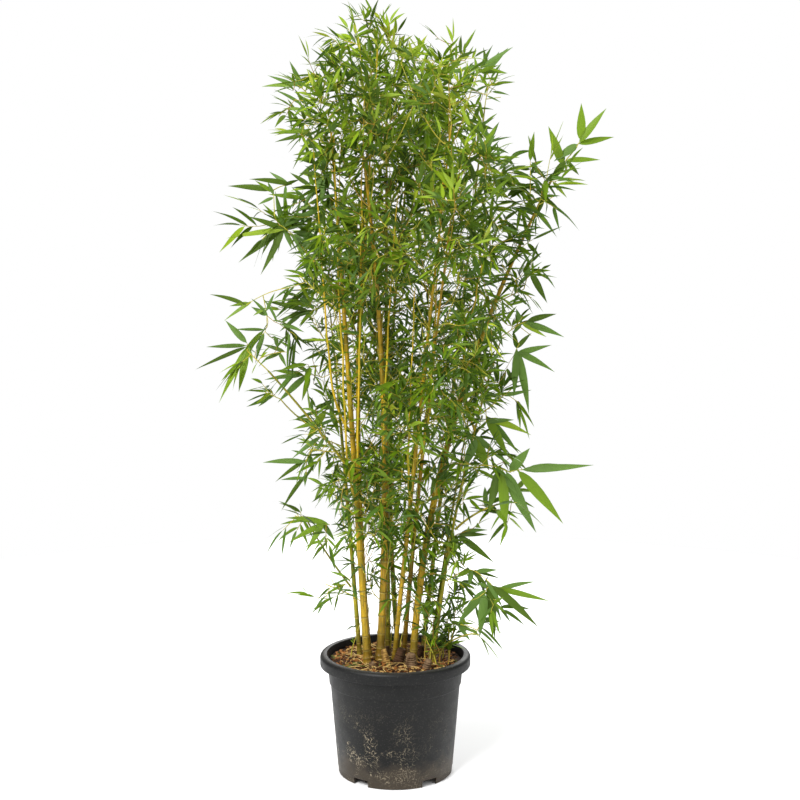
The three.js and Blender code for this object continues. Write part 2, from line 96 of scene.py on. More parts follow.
# limb, how far up it, the stem's bearing and rise, reach, radius of the space, leaf length
MASSES: dict[str, tuple[str, float, float, float, float, float, float]] = {
    "crown_left_rear": ("cane_left_thin", 1, 150, 60, 80, 106, 118),
    "crown_left_top": ("cane_left_thick", 1, 180, 58, 84, 100, 118),
    "crown_top": ("cane_left_inner", 1, 120, 84, 74, 102, 112),
    "crown_front_left": ("cane_centre_thick", 1, 200, 68, 80, 106, 114),
    "crown_top_rear": ("cane_centre_rear", 1, 20, 74, 72, 102, 112),
    "crown_back": ("cane_back", 1, 80, 60, 78, 106, 118),
    "crown_front_right": ("cane_front_right", 1, -50, 60, 78, 104, 118),
    "crown_front": ("cane_front", 1, -110, 76, 78, 104, 112),
    "crown_right_tip": ("cane_right_thick", 1, -4, 50, 66, 84, 112),
    "crown_back_right": ("cane_back_right", 1, 30, 80, 56, 96, 110),
    "crown_right": ("cane_right_thin", 1, 0, 34, 50, 86, 104),
    "crown_right_rear": ("cane_right_short", 1, 42, 52, 80, 106, 118),
    "spray_left_high": ("bough_left_high", 1, 184, 30, 44, 96, 118),
    "spray_left_upper": ("cane_left_thick", 0.71, 172, 42, 112, 98, 114),
    "spray_left_long": ("bough_left_long", 1, 182, 44, 60, 88, 104),
    "spray_left_side": ("bough_left_side", 1, 182, 24, 40, 96, 128),
    "spray_left_inner": ("bough_left_long", 0.2, 200, 8, 56, 86, 100),
    "spray_left_mid": ("cane_left_thin", 0.66, 176, 22, 60, 92, 104),
    "spray_left_low": ("bough_left_low", 1, 178, 20, 34, 94, 112),
    "spray_left_foot": ("cane_left_thin", 0.28, 186, 24, 62, 84, 104),
    "spray_right_high": ("cane_right_thick", 0.93, -80, 36, 60, 98, 112),
    "spray_right_upper": ("cane_right_thick", 0.78, -10, 26, 56, 86, 104),
    "spray_right_mid": ("cane_right_thin", 0.8, -12, 40, 78, 92, 112),
    "spray_right_inner": ("cane_right_thin", 0.64, -50, 26, 54, 88, 104),
    "spray_right_long": ("bough_right_long", 1, -12, 2, 36, 120, 150),
    "spray_right_lower": ("cane_right_thin", 0.35, 6, 30, 50, 82, 100),
    "spray_right_low": ("bough_right_low", 1, -14, -4, 22, 106, 128),
    "spray_right_back": ("cane_back_right", 0.87, -60, 32, 62, 100, 112),
    "front_low": ("cane_centre_thick", 0.4, -112, 24, 66, 106, 112),
    "front_mid": ("cane_front", 0.54, -84, 26, 64, 106, 112),
    "front_high": ("cane_centre_thick", 0.81, -118, 30, 60, 106, 112),
    "front_upper": ("cane_front", 0.8, -62, 28, 58, 98, 112),
    "front_right": ("cane_front_right", 0.72, -36, 26, 64, 106, 112),
    "middle_left": ("cane_left_inner", 0.56, 150, 34, 62, 106, 112),
    "middle_top": ("cane_centre_rear", 0.84, -10, 40, 62, 106, 112),
    "middle_right": ("cane_right_thick", 0.56, 24, 30, 60, 104, 112),
    "back_low": ("cane_centre_rear", 0.38, 112, 24, 68, 106, 112),
    "back_mid": ("cane_back", 0.58, 88, 26, 68, 108, 112),
    "back_high": ("cane_back", 0.82, 112, 30, 68, 108, 112),
    "back_right": ("cane_back_right", 0.6, 62, 26, 68, 108, 112),
}

SOIL_TOP = 212.0

# --- Small helpers ---


def mix(a: float, b: float, share: float) -> float:
    """The value a share of the way from a to b."""
    return a + (b - a) * share


def unit(v: Vec) -> Vec:
    """A vector of length 1 along v."""
    return v / math.sqrt(float(v @ v))


def heading(bearing: float, rise: float) -> Vec:
    """A unit vector from a bearing and a rise.

    Args:
        bearing: Degrees from +X towards +Y.
        rise: Degrees above level.

    Returns:
        The direction.
    """
    turn, lift = math.radians(bearing), math.radians(rise)
    level = math.cos(lift)
    return np.array((level * math.cos(turn), level * math.sin(turn), math.sin(lift)))


def turned(v: Vec, axis: Vec, angle: float) -> Vec:
    """The vector v turned about a unit axis by an angle in radians."""
    cos, sin = math.cos(angle), math.sin(angle)
    return v * cos + np.cross(axis, v) * sin + axis * (float(axis @ v) * (1 - cos))


def square_to(ahead: Vec) -> tuple[Vec, Vec]:
    """Two directions square to a rod's own, as the solids count their corners.

    Args:
        ahead: Unit vector along the rod.

    Returns:
        The direction across and the one aside.
    """
    level = np.array((1.0, 0.0, 0.0)) if abs(ahead[2]) > 0.9 else UP
    across = unit(np.cross(ahead, level))
    return across, unit(np.cross(across, ahead))


def linear(colour: int) -> tuple[float, float, float, float]:
    """Turns a display colour into a linear one.

    Args:
        colour: 0xRRGGBB.

    Returns:
        Linear red, green, blue and an alpha of 1.
    """
    parts = [((colour >> shift) & 255) / 255 for shift in (16, 8, 0)]
    red, green, blue = (
        c / 12.92 if c <= 0.04045 else ((c + 0.055) / 1.055) ** 2.4 for c in parts
    )
    return red, green, blue, 1.0


class Dice:
    """A seeded Park-Miller generator, the same as the part's own."""

    def __init__(self, seed: int) -> None:
        """Starts from a seed above 0."""
        self.state = seed

    def next(self) -> float:
        """The next number from 0 to 1."""
        self.state = self.state * 48271 % 2147483647
        return self.state / 2147483647

    def between(self, low: float, high: float) -> float:
        """The next number from low to high."""
        return mix(low, high, self.next())

    def swing(self, reach: float) -> float:
        """The next number from -reach to reach."""
        return self.between(-reach, reach)

    def index(self, count: int) -> int:
        """The next whole number from 0 up to count."""
        return int(self.next() * count)


# --- Meshes ---


@dataclass
class MeshPlan:
    """Points, faces and slots that become one object."""

    name: str
    points: list[Vec] = field(default_factory=list)
    faces: Faces = field(default_factory=list)
    slots: list[int] = field(default_factory=list)
    uvs: list[Vec] = field(default_factory=list)
    count: int = 0

    def add(
        self, points: Vec, faces: Iterable[Sequence[int]], slot: int = 0, uvs: Vec | None = None
    ) -> int:
        """Adds a block of points and the faces on them.

        Args:
            points: One row of x, y, z in millimetres for each point.
            faces: Faces as numbers of points in this block.
            slot: Material slot of these faces.
            uvs: One row of u, v for each point.

        Returns:
            The number of the block's first point in the whole mesh.
        """
        start = self.count
        block = [tuple(int(i) + start for i in face) for face in faces]
        self.points.append(np.asarray(points, float))
        self.faces += block
        self.slots += [slot] * len(block)
        self.uvs.append(np.zeros((len(points), 2)) if uvs is None else uvs)
        self.count += len(points)
        return start

    def make(
        self, materials: Sequence[Material], sharp_above: float = 180.0
    ) -> bpy.types.Object:
        """Makes the object.

        Args:
            materials: One for each slot.
            sharp_above: Edges that bend by more degrees than this are sharp.

        Returns:
            The object, linked to the scene.
        """
        mesh = bpy.data.meshes.new(self.name)
        mesh.from_pydata((np.vstack(self.points) * MM).tolist(), [], self.faces)
        mesh.polygons.foreach_set("material_index", self.slots)
        corners = np.empty(len(mesh.loops), dtype=np.int32)
        mesh.loops.foreach_get("vertex_index", corners)
        layer = mesh.uv_layers.new(name="UVMap")
        layer.data.foreach_set("uv", np.vstack(self.uvs)[corners].ravel())
        for material in materials:
            mesh.materials.append(material)
        mesh.shade_smooth()
        if sharp_above < 180:
            mesh.set_sharp_from_angle(angle=math.radians(sharp_above))
        mesh.update()
        piece = bpy.data.objects.new(self.name, mesh)
        bpy.context.collection.objects.link(piece)
        return piece


def settle(piece: bpy.types.Object, nodes: Iterable[str] = ()) -> None:
    """Ties a piece to the frame and reports it.

    Args:
        piece: The finished piece.
        nodes: The solids that it stands for.
    """
    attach(piece, BODY)
    names = tuple(nodes)
    if names:
        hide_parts(*names)
    LOG.info("%s: %d faces for %d solids", piece.name, len(piece.data.polygons), len(names))


def lengths(rows: Vec) -> Vec:
    """The length of each row."""
    return np.linalg.norm(rows, axis=1)


def circle(radius: float, height: float, facets: int) -> Vec:
    """Points round the Z axis at one height."""
    turns = 2 * math.pi * np.arange(facets) / facets
    flat = (radius * np.cos(turns), radius * np.sin(turns))
    return np.column_stack((*flat, np.full(facets, height)))


def ring_faces(rings: int, sides: int) -> Faces:
    """Faces of a closed tube whose rings follow one another.

    Args:
        rings: Number of rings.
        sides: Points in each ring.

    Returns:
        The wall's quads ring by ring, then the two caps.
    """
    faces: Faces = []
    for ring in range(rings - 1):
        for i in range(sides):
            j = (i + 1) % sides
            low, high = ring * sides, (ring + 1) * sides
            faces.append((low + i, low + j, high + j, high + i))
    faces.append(tuple(range(sides - 1, -1, -1)))
    faces.append(tuple(range((rings - 1) * sides, rings * sides)))
    return faces


def tube(path: Vec, radii: Sequence[float], sides: int) -> tuple[Vec, Faces]:
    """A closed round tube along a row of points.

    Args:
        path: One row of x, y, z for each ring's middle.
        radii: Radius at each.
        sides: Points in each ring.

    Returns:
        Its points and its faces.
    """
    ahead = np.gradient(path, axis=0)
    across, _ = square_to(unit(ahead[0]))
    angles = 2 * math.pi * np.arange(sides) / sides
    rings = []
    for middle, way, radius in zip(path, ahead, radii):
        way = unit(way)
        across = unit(across - way * float(across @ way))
        aside = np.cross(way, across)
        rings.append(
            middle + radius * (np.outer(np.cos(angles), across) + np.outer(np.sin(angles), aside))
        )
    return np.vstack(rings), ring_faces(len(path), sides)


def arc(start: Vec, bend: Vec, end: Vec, shares: Iterable[float]) -> Vec:
    """Points at some shares of a curve that leaves start towards bend and comes to end."""
    t = np.array(list(shares))[:, None]
    return start * (1 - t) ** 2 + bend * 2 * t * (1 - t) + end * t**2


# --- Shader nodes ---


class Sheet:
    """Lays nodes in one node tree."""

    def __init__(self, tree: Tree) -> None:
        """Works in a tree."""
        self.tree = tree

    def add(
        self, kind: str, inputs: dict[str | int, Value] | None = None, **settings: object
    ) -> bpy.types.Node:
        """Adds a node.

        Args:
            kind: The node's type.
            inputs: Values or sockets for its inputs, by name or number.
            **settings: The node's own settings.

        Returns:
            The node.
        """
        node = self.tree.nodes.new(kind)
        for name, setting in settings.items():
            setattr(node, name, setting)
        for key, value in (inputs or {}).items():
            if isinstance(value, Socket):
                self.tree.links.new(value, node.inputs[key])
            else:
                node.inputs[key].default_value = value
        return node

    def sum(self, operation: str, a: Value, b: Value) -> Socket:
        """One step of arithmetic on two values."""
        return self.add("ShaderNodeMath", {0: a, 1: b}, operation=operation).outputs[0]

    def times(self, a: Value, b: Value) -> Socket:
        """One value times another."""
        return self.sum("MULTIPLY", a, b)

    def rest(self, value: Value) -> Socket:
        """What a value falls short of 1."""
        return self.sum("SUBTRACT", 1.0, value)

    def vector(self, operation: str, a: Value, b: Value) -> Socket:
        """One step of arithmetic on two vectors."""
        return self.add("ShaderNodeVectorMath", {0: a, 1: b}, operation=operation).outputs[0]

    def blend(self, share: Value, a: Value, b: Value) -> Socket:
        """A colour that goes from a to b with share."""
        return self.add("ShaderNodeMix", {0: share, 6: a, 7: b}, data_type="RGBA").outputs[2]

    def tinge(self, mask: Value, most: float, ground: Value, colour: int) -> Socket:
        """A ground under a colour that covers it where a mask says, by a share at most."""
        return self.blend(self.times(mask, most), ground, linear(colour))

    def ramp(self, value: Value, low: Value, high: Value) -> Socket:
        """0 where value is at low and 1 where it is at high."""
        return self.add("ShaderNodeMapRange", {0: value, 1: low, 2: high}).outputs[0]

    def noise(self, where: Value, scale: Value, detail: float) -> Socket:
        """Noise from 0 to 1 at a place."""
        inputs = {"Vector": where, "Scale": scale, "Detail": detail}
        return self.add("ShaderNodeTexNoise", inputs).outputs[0]

    def place(self) -> Socket:
        """The place on the object, in metres."""
        return self.add("ShaderNodeTexCoord").outputs["Object"]

    def group(self, tree: Tree, **inputs: Value) -> Sockets:
        """Places a shared effect with this material's own values, and gives its outputs."""
        return self.add("ShaderNodeGroup", dict(inputs), node_tree=tree).outputs

    def bump(self, height: Value, strength: float, depth: float) -> Socket:
        """The surface's direction under a relief whose depth is in metres."""
        inputs = {"Height": height, "Strength": strength, "Distance": depth}
        return self.add("ShaderNodeBump", inputs).outputs[0]

    def skin(
        self, colour: Value, roughness: Value, shine: float, normal: Value,
        coat: dict[str | int, Value] | None = None,
    ) -> Socket:
        """Adds the shader of a solid surface.

        Args:
            colour: Its base colour.
            roughness: Its roughness.
            shine: Its specular level.
            normal: Its direction under the relief.
            coat: The coat's own inputs, where it has one.

        Returns:
            The shader's output.
        """
        inputs = {
            "Base Color": colour, "Roughness": roughness, "Specular IOR Level": shine,
            "Normal": normal, **(coat or {}),
        }
        return self.add("ShaderNodeBsdfPrincipled", inputs).outputs[0]


def effect(
    name: str, inputs: dict[str, float], outputs: Sequence[str],
    lay: Callable[[Sheet, Sockets], tuple[Socket, ...]],
) -> Tree:
    """Builds the group of an effect that several finishes share.

    Args:
        name: The group's name.
        inputs: Each input's name and first value; a name that starts with Tint is a colour.
        outputs: Each output's name, a colour where it starts with Tint.
        lay: Lays the group's nodes after its inputs, and gives a socket for each output.

    Returns:
        The group.
    """
    tree = bpy.data.node_groups.new(name, "ShaderNodeTree")
    for socket in (*inputs, *outputs):
        kind = "NodeSocketColor" if socket.startswith("Tint") else "NodeSocketFloat"
        way = "INPUT" if socket in inputs else "OUTPUT"
        made = tree.interface.new_socket(socket, in_out=way, socket_type=kind)
        if way == "INPUT" and kind == "NodeSocketFloat":
            made.default_value = inputs[socket]
    sheet = Sheet(tree)
    laid = lay(sheet, sheet.add("NodeGroupInput").outputs)
    sheet.add("NodeGroupOutput", dict(zip(outputs, laid)))
    return tree


@cache
def tone_drift() -> Tree:
    """A slow wander between two tints."""

    def lay(sheet: Sheet, take: Sockets) -> tuple[Socket, ...]:
        """Lays the nodes."""
        share = sheet.ramp(sheet.noise(sheet.place(), take["Scale"], 4.0), 0.36, 0.64)
        return (sheet.blend(share, take["TintA"], take["TintB"]),)

    return effect("tone_drift", {"TintA": 0, "TintB": 0, "Scale": 10.0}, ["Tint"], lay)


def wander(sheet: Sheet, tint: int, other: int, scale: float) -> Socket:
    """A finish's own two tints under the slow wander."""
    inputs = {"TintA": linear(tint), "TintB": linear(other), "Scale": scale}
    return sheet.group(tone_drift(), **inputs)["Tint"]


@cache
def flecks() -> Tree:
    """Small spots, as a mask."""

    def lay(sheet: Sheet, take: Sockets) -> tuple[Socket, ...]:
        """Lays the nodes."""
        spots = sheet.noise(sheet.place(), take["Scale"], 5.0)
        return (sheet.ramp(spots, take["Cover"], sheet.sum("ADD", take["Cover"], 0.06)),)

    return effect("flecks", {"Scale": 200.0, "Cover": 0.62}, ["Mask"], lay)


@cache
def upright_streaks() -> Tree:
    """Fine upright streaks, as a mask."""

    def lay(sheet: Sheet, take: Sockets) -> tuple[Socket, ...]:
        """Lays the nodes."""
        squeeze = sheet.add("ShaderNodeCombineXYZ", {0: 1.0, 1: 1.0, 2: take["Run"]})
        where = sheet.vector("MULTIPLY", sheet.place(), squeeze.outputs[0])
        return (sheet.ramp(sheet.noise(where, take["Scale"], 4.0), 0.38, 0.66),)

    return effect("upright_streaks", {"Scale": 420.0, "Run": 0.06}, ["Mask"], lay)


@cache
def low_level() -> Tree:
    """A mask that runs out with height, with a ragged edge."""

    def lay(sheet: Sheet, take: Sockets) -> tuple[Socket, ...]:
        """Lays the nodes."""
        place = sheet.place()
        height = sheet.add("ShaderNodeSeparateXYZ", {0: place}).outputs[2]
        ragged = sheet.times(sheet.noise(place, 34.0, 6.0), take["Ragged"])
        lifted = sheet.sum("SUBTRACT", height, ragged)
        return (sheet.rest(sheet.ramp(lifted, take["Full"], take["Gone"])),)

    first = {"Full": 0.0, "Gone": 0.05, "Ragged": 0.03}
    return effect("low_level", first, ["Mask"], lay)


@cache
def fine_grain() -> Tree:
    """Fine relief, as a height."""

    def lay(sheet: Sheet, take: Sockets) -> tuple[Socket, ...]:
        """Lays the nodes."""
        return (sheet.noise(sheet.place(), take["Scale"], 8.0),)

    return effect("fine_grain", {"Scale": 300.0}, ["Height"], lay)


@cache
def leaf_blade() -> Tree:
    """A leaf's midrib and its fine veins."""

    def lay(sheet: Sheet, take: Sockets) -> tuple[Socket, ...]:
        """Lays the nodes."""
        spot = sheet.add("ShaderNodeUVMap").outputs[0]
        across = sheet.add("ShaderNodeSeparateXYZ", {0: spot}).outputs[0]
        off = sheet.sum("ABSOLUTE", sheet.sum("SUBTRACT", across, 0.5), 0.0)
        rib = sheet.rest(sheet.ramp(off, 0.0, take["Rib"]))
        wave = sheet.sum("SINE", sheet.times(across, 38.0), 0.0)
        return rib, sheet.times(wave, take["Vein"])

    return effect("leaf_blade", {"Rib": 0.07, "Vein": 0.5}, ["Mask", "Height"], lay)


def new_material(name: str) -> tuple[Material, Sheet]:
    """Starts a material with nodes.

    Args:
        name: The material's name.

    Returns:
        The material and the sheet for its nodes.
    """
    material = bpy.data.materials.new(name)
    material.use_nodes = True
    material.node_tree.nodes.clear()
    return material, Sheet(material.node_tree)


# --- Finishes ---


@dataclass(frozen=True)
class Finish:
    """What every finish has: a name, and a way to lay its shader."""

    name: str

    def build(self) -> Material:
        """Builds the material.

        Returns:
            The material.
        """
        material, sheet = new_material(self.name)
        sheet.add("ShaderNodeOutputMaterial", {0: self.lay(sheet)})
        return material

    def lay(self, sheet: Sheet) -> Socket:
        """Lays the nodes, and gives the shader's output."""
        raise NotImplementedError


@dataclass(frozen=True)
class LeafFinish(Finish):
    """A thin green leaf, paler beneath, that lets some light through."""

    face: int
    other: int
    under: int
    through: int
    roughness: float = 0.5
    glow: float = 0.24

    def lay(self, sheet: Sheet) -> Socket:
        """Lays the nodes.

        Args:
            sheet: The material's sheet.

        Returns:
            The shader's output.
        """
        ground = wander(sheet, self.face, self.other, 16.0)
        blade = sheet.group(leaf_blade(), Rib=0.07, Vein=0.5)
        lined = sheet.blend(sheet.ramp(blade["Height"], -0.2, 0.9), ground, linear(self.under))
        ribbed = sheet.tinge(blade["Mask"], 0.3, lined, self.under)
        back = sheet.add("ShaderNodeNewGeometry").outputs["Backfacing"]
        paler = sheet.tinge(back, 0.6, ribbed, self.under)
        face = sheet.skin(paler, self.roughness, 0.18, sheet.bump(blade["Height"], 0.08, 0.0004))
        through = sheet.add("ShaderNodeBsdfTranslucent", {"Color": linear(self.through)})
        both = {0: self.glow, 1: face, 2: through.outputs[0]}
        return sheet.add("ShaderNodeMixShader", both).outputs[0]


@dataclass(frozen=True)
class CulmFinish(Finish):
    """Smooth cane skin with fine upright streaks, dark flecks and a soiled foot."""

    skin: int
    shade: int
    streak: int
    fleck: int = 0x3A2A10
    soil: int = 0x5A3E1E
    roughness: float = 0.38

    def lay(self, sheet: Sheet) -> Socket:
        """Lays the nodes.

        Args:
            sheet: The material's sheet.

        Returns:
            The shader's output.
        """
        ground = wander(sheet, self.skin, self.shade, 24.0)
        lines = sheet.group(upright_streaks(), Scale=420.0, Run=0.05)["Mask"]
        spots = sheet.group(flecks(), Scale=300.0, Cover=0.63)["Mask"]
        foot = sheet.group(low_level(), Full=0.216, Gone=0.262, Ragged=0.03)["Mask"]
        striped = sheet.tinge(lines, 0.6, ground, self.streak)
        soiled = sheet.tinge(foot, 0.55, sheet.tinge(spots, 0.7, striped, self.fleck), self.soil)
        coat = {"Coat Weight": 0.04, "Coat Roughness": 0.3}
        return sheet.skin(soiled, self.roughness, 0.24, sheet.bump(lines, 0.2, 0.0006), coat)


@dataclass(frozen=True)
class EarthFinish(Finish):
    """A dull, rough finish for bark, fibre, scars and potting mix."""

    tone: int
    other: int
    scale: float = 90.0
    grain: float = 700.0
    depth: float = 0.0008
    roughness: float = 0.9
    shine: float = 0.2

    def lay(self, sheet: Sheet) -> Socket:
        """Lays the nodes.

        Args:
            sheet: The material's sheet.

        Returns:
            The shader's output.
        """
        ground = wander(sheet, self.tone, self.other, self.scale)
        relief = sheet.group(fine_grain(), Scale=self.grain)["Height"]
        return sheet.skin(ground, self.roughness, self.shine, sheet.bump(relief, 0.8, self.depth))


@dataclass(frozen=True)
class PotFinish(Finish):
    """Black moulded plastic, finely dusty, with a paler lip top that is painted highlight along
    with some dusting, a soiled foot and dried root marks.
    """

    name: str = "pot_plastic"
    plastic: int = 0x050606
    bleached: int = 0x0A0B0B
    # a dusty grey, used for the fine dusty flecks and also for the painted highlight along the top
    # of the lip
    dust_and_sheen: int = 0x6E6A62
    dirt: int = 0x5C5040
    mark: int = 0xB9AB90

    def lay(self, sheet: Sheet) -> Socket:
        """Lays the nodes.

        Args:
            sheet: The material's sheet.

        Returns:
            The shader's output.
        """
        place = sheet.place()
        split = sheet.add("ShaderNodeSeparateXYZ", {0: place}).outputs
        ground = wander(sheet, self.plastic, self.bleached, 11.0)
        fine = sheet.group(flecks(), Scale=420.0, Cover=0.58)["Mask"]
        foot = sheet.group(low_level(), Full=-0.006, Gone=0.019, Ragged=0.07)["Mask"]
        soiled = sheet.tinge(foot, 0.34, sheet.tinge(fine, 0.1, ground, self.dust_and_sheen), self.dirt)
        marks = self.root_marks(sheet, place, split)
        marked = sheet.blend(marks, soiled, linear(self.mark))
        # The top of the lip is tinted paler: a painted highlight, with a little real dusting.
        lip = sheet.ramp(split[2], 0.2205, 0.223)
        lip_dust_and_sheen = sheet.tinge(lip, 0.12, marked, self.dust_and_sheen)
        relief = sheet.group(fine_grain(), Scale=900.0)["Height"]
        rough = sheet.sum("ADD", sheet.times(sheet.noise(place, 60.0, 4.0), 0.25), 0.38)
        return sheet.skin(lip_dust_and_sheen, rough, 0.26, sheet.bump(relief, 0.35, 0.0004))

    def root_marks(self, sheet: Sheet, place: Socket, split: Sequence[Socket]) -> Socket:
        """Fine dried root marks in patches low on the pot's front and sides.

        Args:
            sheet: The material's sheet.
            place: The place on the pot.
            split: The same place, split in three.

        Returns:
            The marks as a mask.
        """
        bent = sheet.add("ShaderNodeTexNoise", {"Vector": place, "Scale": 55.0, "Detail": 2.0})
        warp = sheet.vector("MULTIPLY", bent.outputs["Color"], (0.022, 0.022, 0.022))
        cells = sheet.add(
            "ShaderNodeTexVoronoi", {"Vector": sheet.vector("ADD", place, warp), "Scale": 120.0},
            feature="DISTANCE_TO_EDGE",
        )
        lines = sheet.rest(sheet.ramp(cells.outputs[0], 0.0, 0.055))
        patch = sheet.ramp(sheet.noise(place, 26.0, 5.0), 0.45, 0.6)
        left = sheet.rest(sheet.ramp(split[0], -0.03, 0.05))
        low = sheet.rest(sheet.ramp(split[2], 0.08, 0.15))
        there = sheet.times(low, sheet.sum("ADD", sheet.times(left, 0.75), 0.25))
        broken = sheet.group(flecks(), Scale=260.0, Cover=0.47)["Mask"]
        specks = sheet.group(flecks(), Scale=460.0, Cover=0.62)["Mask"]
        marks = sheet.sum("MAXIMUM", sheet.times(lines, broken), sheet.times(specks, 0.7))
        return sheet.times(sheet.times(marks, patch), there)


class LeafTint(Enum):
    """The tints of leaf, dealt out a spray at a time."""

    DARK = LeafFinish("leaf_dark", 0x2A3F00, 0x375002, 0x4E631E, 0x3B5B00)
    MID = LeafFinish("leaf_mid", 0x4E6800, 0x5D7A04, 0x6A8326, 0x638900)
    BRIGHT = LeafFinish("leaf_bright", 0x708B06, 0x7F980F, 0x859A37, 0x85A308)
    YOUNG = LeafFinish("leaf_young", 0x8EA017, 0x9EAB24, 0x9AA744, 0xA2B122)
    BLUISH = LeafFinish("leaf_bluish", 0x395611, 0x44631B, 0x617D3B, 0x50721B)


class Culm(Enum):
    """The tones of cane skin."""

    GOLD = CulmFinish("culm_gold", 0xC29A1E, 0x8E7A18, 0x5E5810)
    OLIVE = CulmFinish("culm_olive", 0xA2941E, 0x6E7216, 0x4A500E)
    AMBER = CulmFinish("culm_amber", 0xBA921E, 0x7E6A18, 0x50460E)


class Wood(Enum):
    """The kinds of fine wood in the foliage."""

    GREEN = EarthFinish("twig_green", 0x9C9830, 0xB6A63C, 40.0, 900.0, 0.0001, 0.6)
    RUSSET = EarthFinish("twig_russet", 0x7C6424, 0xA88C34, 40.0, 900.0, 0.0001, 0.6)
    LEADER = CulmFinish("leader_gold", 0xCCA626, 0xA8961C, 0x7A7414)


def deal_wood(dice: Dice, russet: float) -> Wood:
    """Deals a twig its wood, russet by a chance and otherwise green."""
    return Wood.RUSSET if dice.next() < russet else Wood.GREEN


# --- Pot and potting mix ---


@dataclass
class NurseryPot:
    """A round moulded pot with a rolled lip, a collar and notches in its foot."""

    height: float = 223
    rim_radius: float = 140
    lip_bottom: float = 202
    lip_roll: float = 7
    collar_top_radius: float = 126
    collar_radius: float = 123
    collar_bottom: float = 168
    wall_top_radius: float = 120.8
    wall_foot_radius: float = 107.8
    base_radius: float = 106
    base_ring: float = 12.5
    wall: float = 2.5
    edge: float = 1.2
    floor_step: float = 84
    floor_rise: float = 14
    notches: int = 5
    notch_size: Point = (12, 31, 25)
    facets: int = 160
    roll_steps: int = 9

    def outline(self) -> Vec:
        """The outline in the plane of the axis, up the outside and down inside.

        Returns:
            One row of radius and height for each point.
        """
        out, inner = self.rim_radius, self.collar_top_radius
        top, low, soft = self.height, self.lip_bottom, self.edge
        points: list[tuple[float, float]] = [
            (0, 0), (self.floor_step, 0), (self.floor_step + 2, self.floor_rise),
            (self.base_radius - self.wall, self.floor_rise),
            (self.base_radius - self.wall, 0.4), (self.base_radius - self.wall + 0.4, 0),
            (self.base_radius - 0.8, 0), (self.base_radius, 0.8),
            (self.base_radius + soft, self.base_ring),
            (self.wall_foot_radius - 0.3, self.base_ring + 0.4),
            (self.wall_foot_radius, self.base_ring + soft),
            (self.wall_top_radius, self.collar_bottom),
            (self.collar_radius - 0.6, self.collar_bottom + 0.3),
            (self.collar_radius, self.collar_bottom + soft),
            (inner - 0.2, low - 1.2), (inner + 1.2, low), (out - soft, low),
            (out - 0.3, low + 0.6), (out, low + 2 * soft),
        ]
        middle = (out - self.lip_roll, top - self.lip_roll)
        for step in range(self.roll_steps + 1):
            turn = math.pi / 2 * step / self.roll_steps
            points.append((
                middle[0] + self.lip_roll * math.cos(turn),
                middle[1] + self.lip_roll * math.sin(turn),
            ))
        points += [
            (inner + 3.2, top), (inner + 1.6, top - 0.5), (inner + 1, top - 2.4),
            (inner - self.wall, low),
            (self.wall_foot_radius - self.wall, self.floor_rise + self.wall),
            (self.floor_step - 2, self.floor_rise + self.wall),
            (self.floor_step - 4, self.wall), (0, self.wall),
        ]
        return np.array(points)

    def build(self) -> None:
        """Builds and dresses the pot."""
        plan = MeshPlan("nursery_pot")
        points, faces = lathe(self.outline(), self.facets)
        plan.add(points, faces)
        pot = plan.make([PotFinish().build()])
        self.cut_notches(pot)
        pot.data.shade_smooth()
        pot.data.set_sharp_from_angle(angle=math.radians(28))
        settle(pot, ["pot"])

    def cut_notches(self, pot: bpy.types.Object) -> None:
        """Cuts the drainage notches, the first of them at the back.

        Args:
            pot: The pot's object, whose mesh is replaced.
        """
        plan = MeshPlan("notch_cutter")
        half = np.array(self.notch_size) / 2
        for i in range(self.notches):
            turn = math.radians(90 + 360 / self.notches * i)
            out = np.array((math.cos(turn), math.sin(turn), 0.0))
            side = np.array((-math.sin(turn), math.cos(turn), 0.0))
            corners = [
                out * (self.base_radius + x * half[0]) + side * y * half[1] + UP * z * half[2]
                for z in (-1, 1) for x, y in ((-1, -1), (1, -1), (1, 1), (-1, 1))
            ]
            plan.add(np.array(corners), ring_faces(2, 4))
        cutter = plan.make([pot.data.materials[0]])
        cut = pot.modifiers.new("notches", "BOOLEAN")
        cut.operation, cut.object, cut.solver = "DIFFERENCE", cutter, "EXACT"
        view = bpy.context.evaluated_depsgraph_get()
        whole = pot.data
        pot.data = bpy.data.meshes.new_from_object(pot.evaluated_get(view))
        pot.modifiers.clear()
        bpy.data.objects.remove(cutter)
        bpy.data.meshes.remove(whole)


def lathe(outline: Vec, facets: int) -> tuple[Vec, Faces]:
    """Turns an outline round the Z axis into a closed mesh.

    Args:
        outline: Rows of radius and height that start and end on the axis.
        facets: Steps round the axis.

    Returns:
        Its points and its faces.
    """
    rings = outline[1:-1]
    points = [circle(radius, height, facets) for radius, height in rings]
    first, last = facets * len(rings), facets * len(rings) + 1
    ends = np.array([(0, 0, outline[0][1]), (0, 0, outline[-1][1])])
    faces = ring_faces(len(rings), facets)[:-2]
    for i in range(facets):
        j = (i + 1) % facets
        top = facets * (len(rings) - 1)
        faces += [(first, j, i), (last, top + i, top + j)]
    return np.vstack((*points, ends)), faces


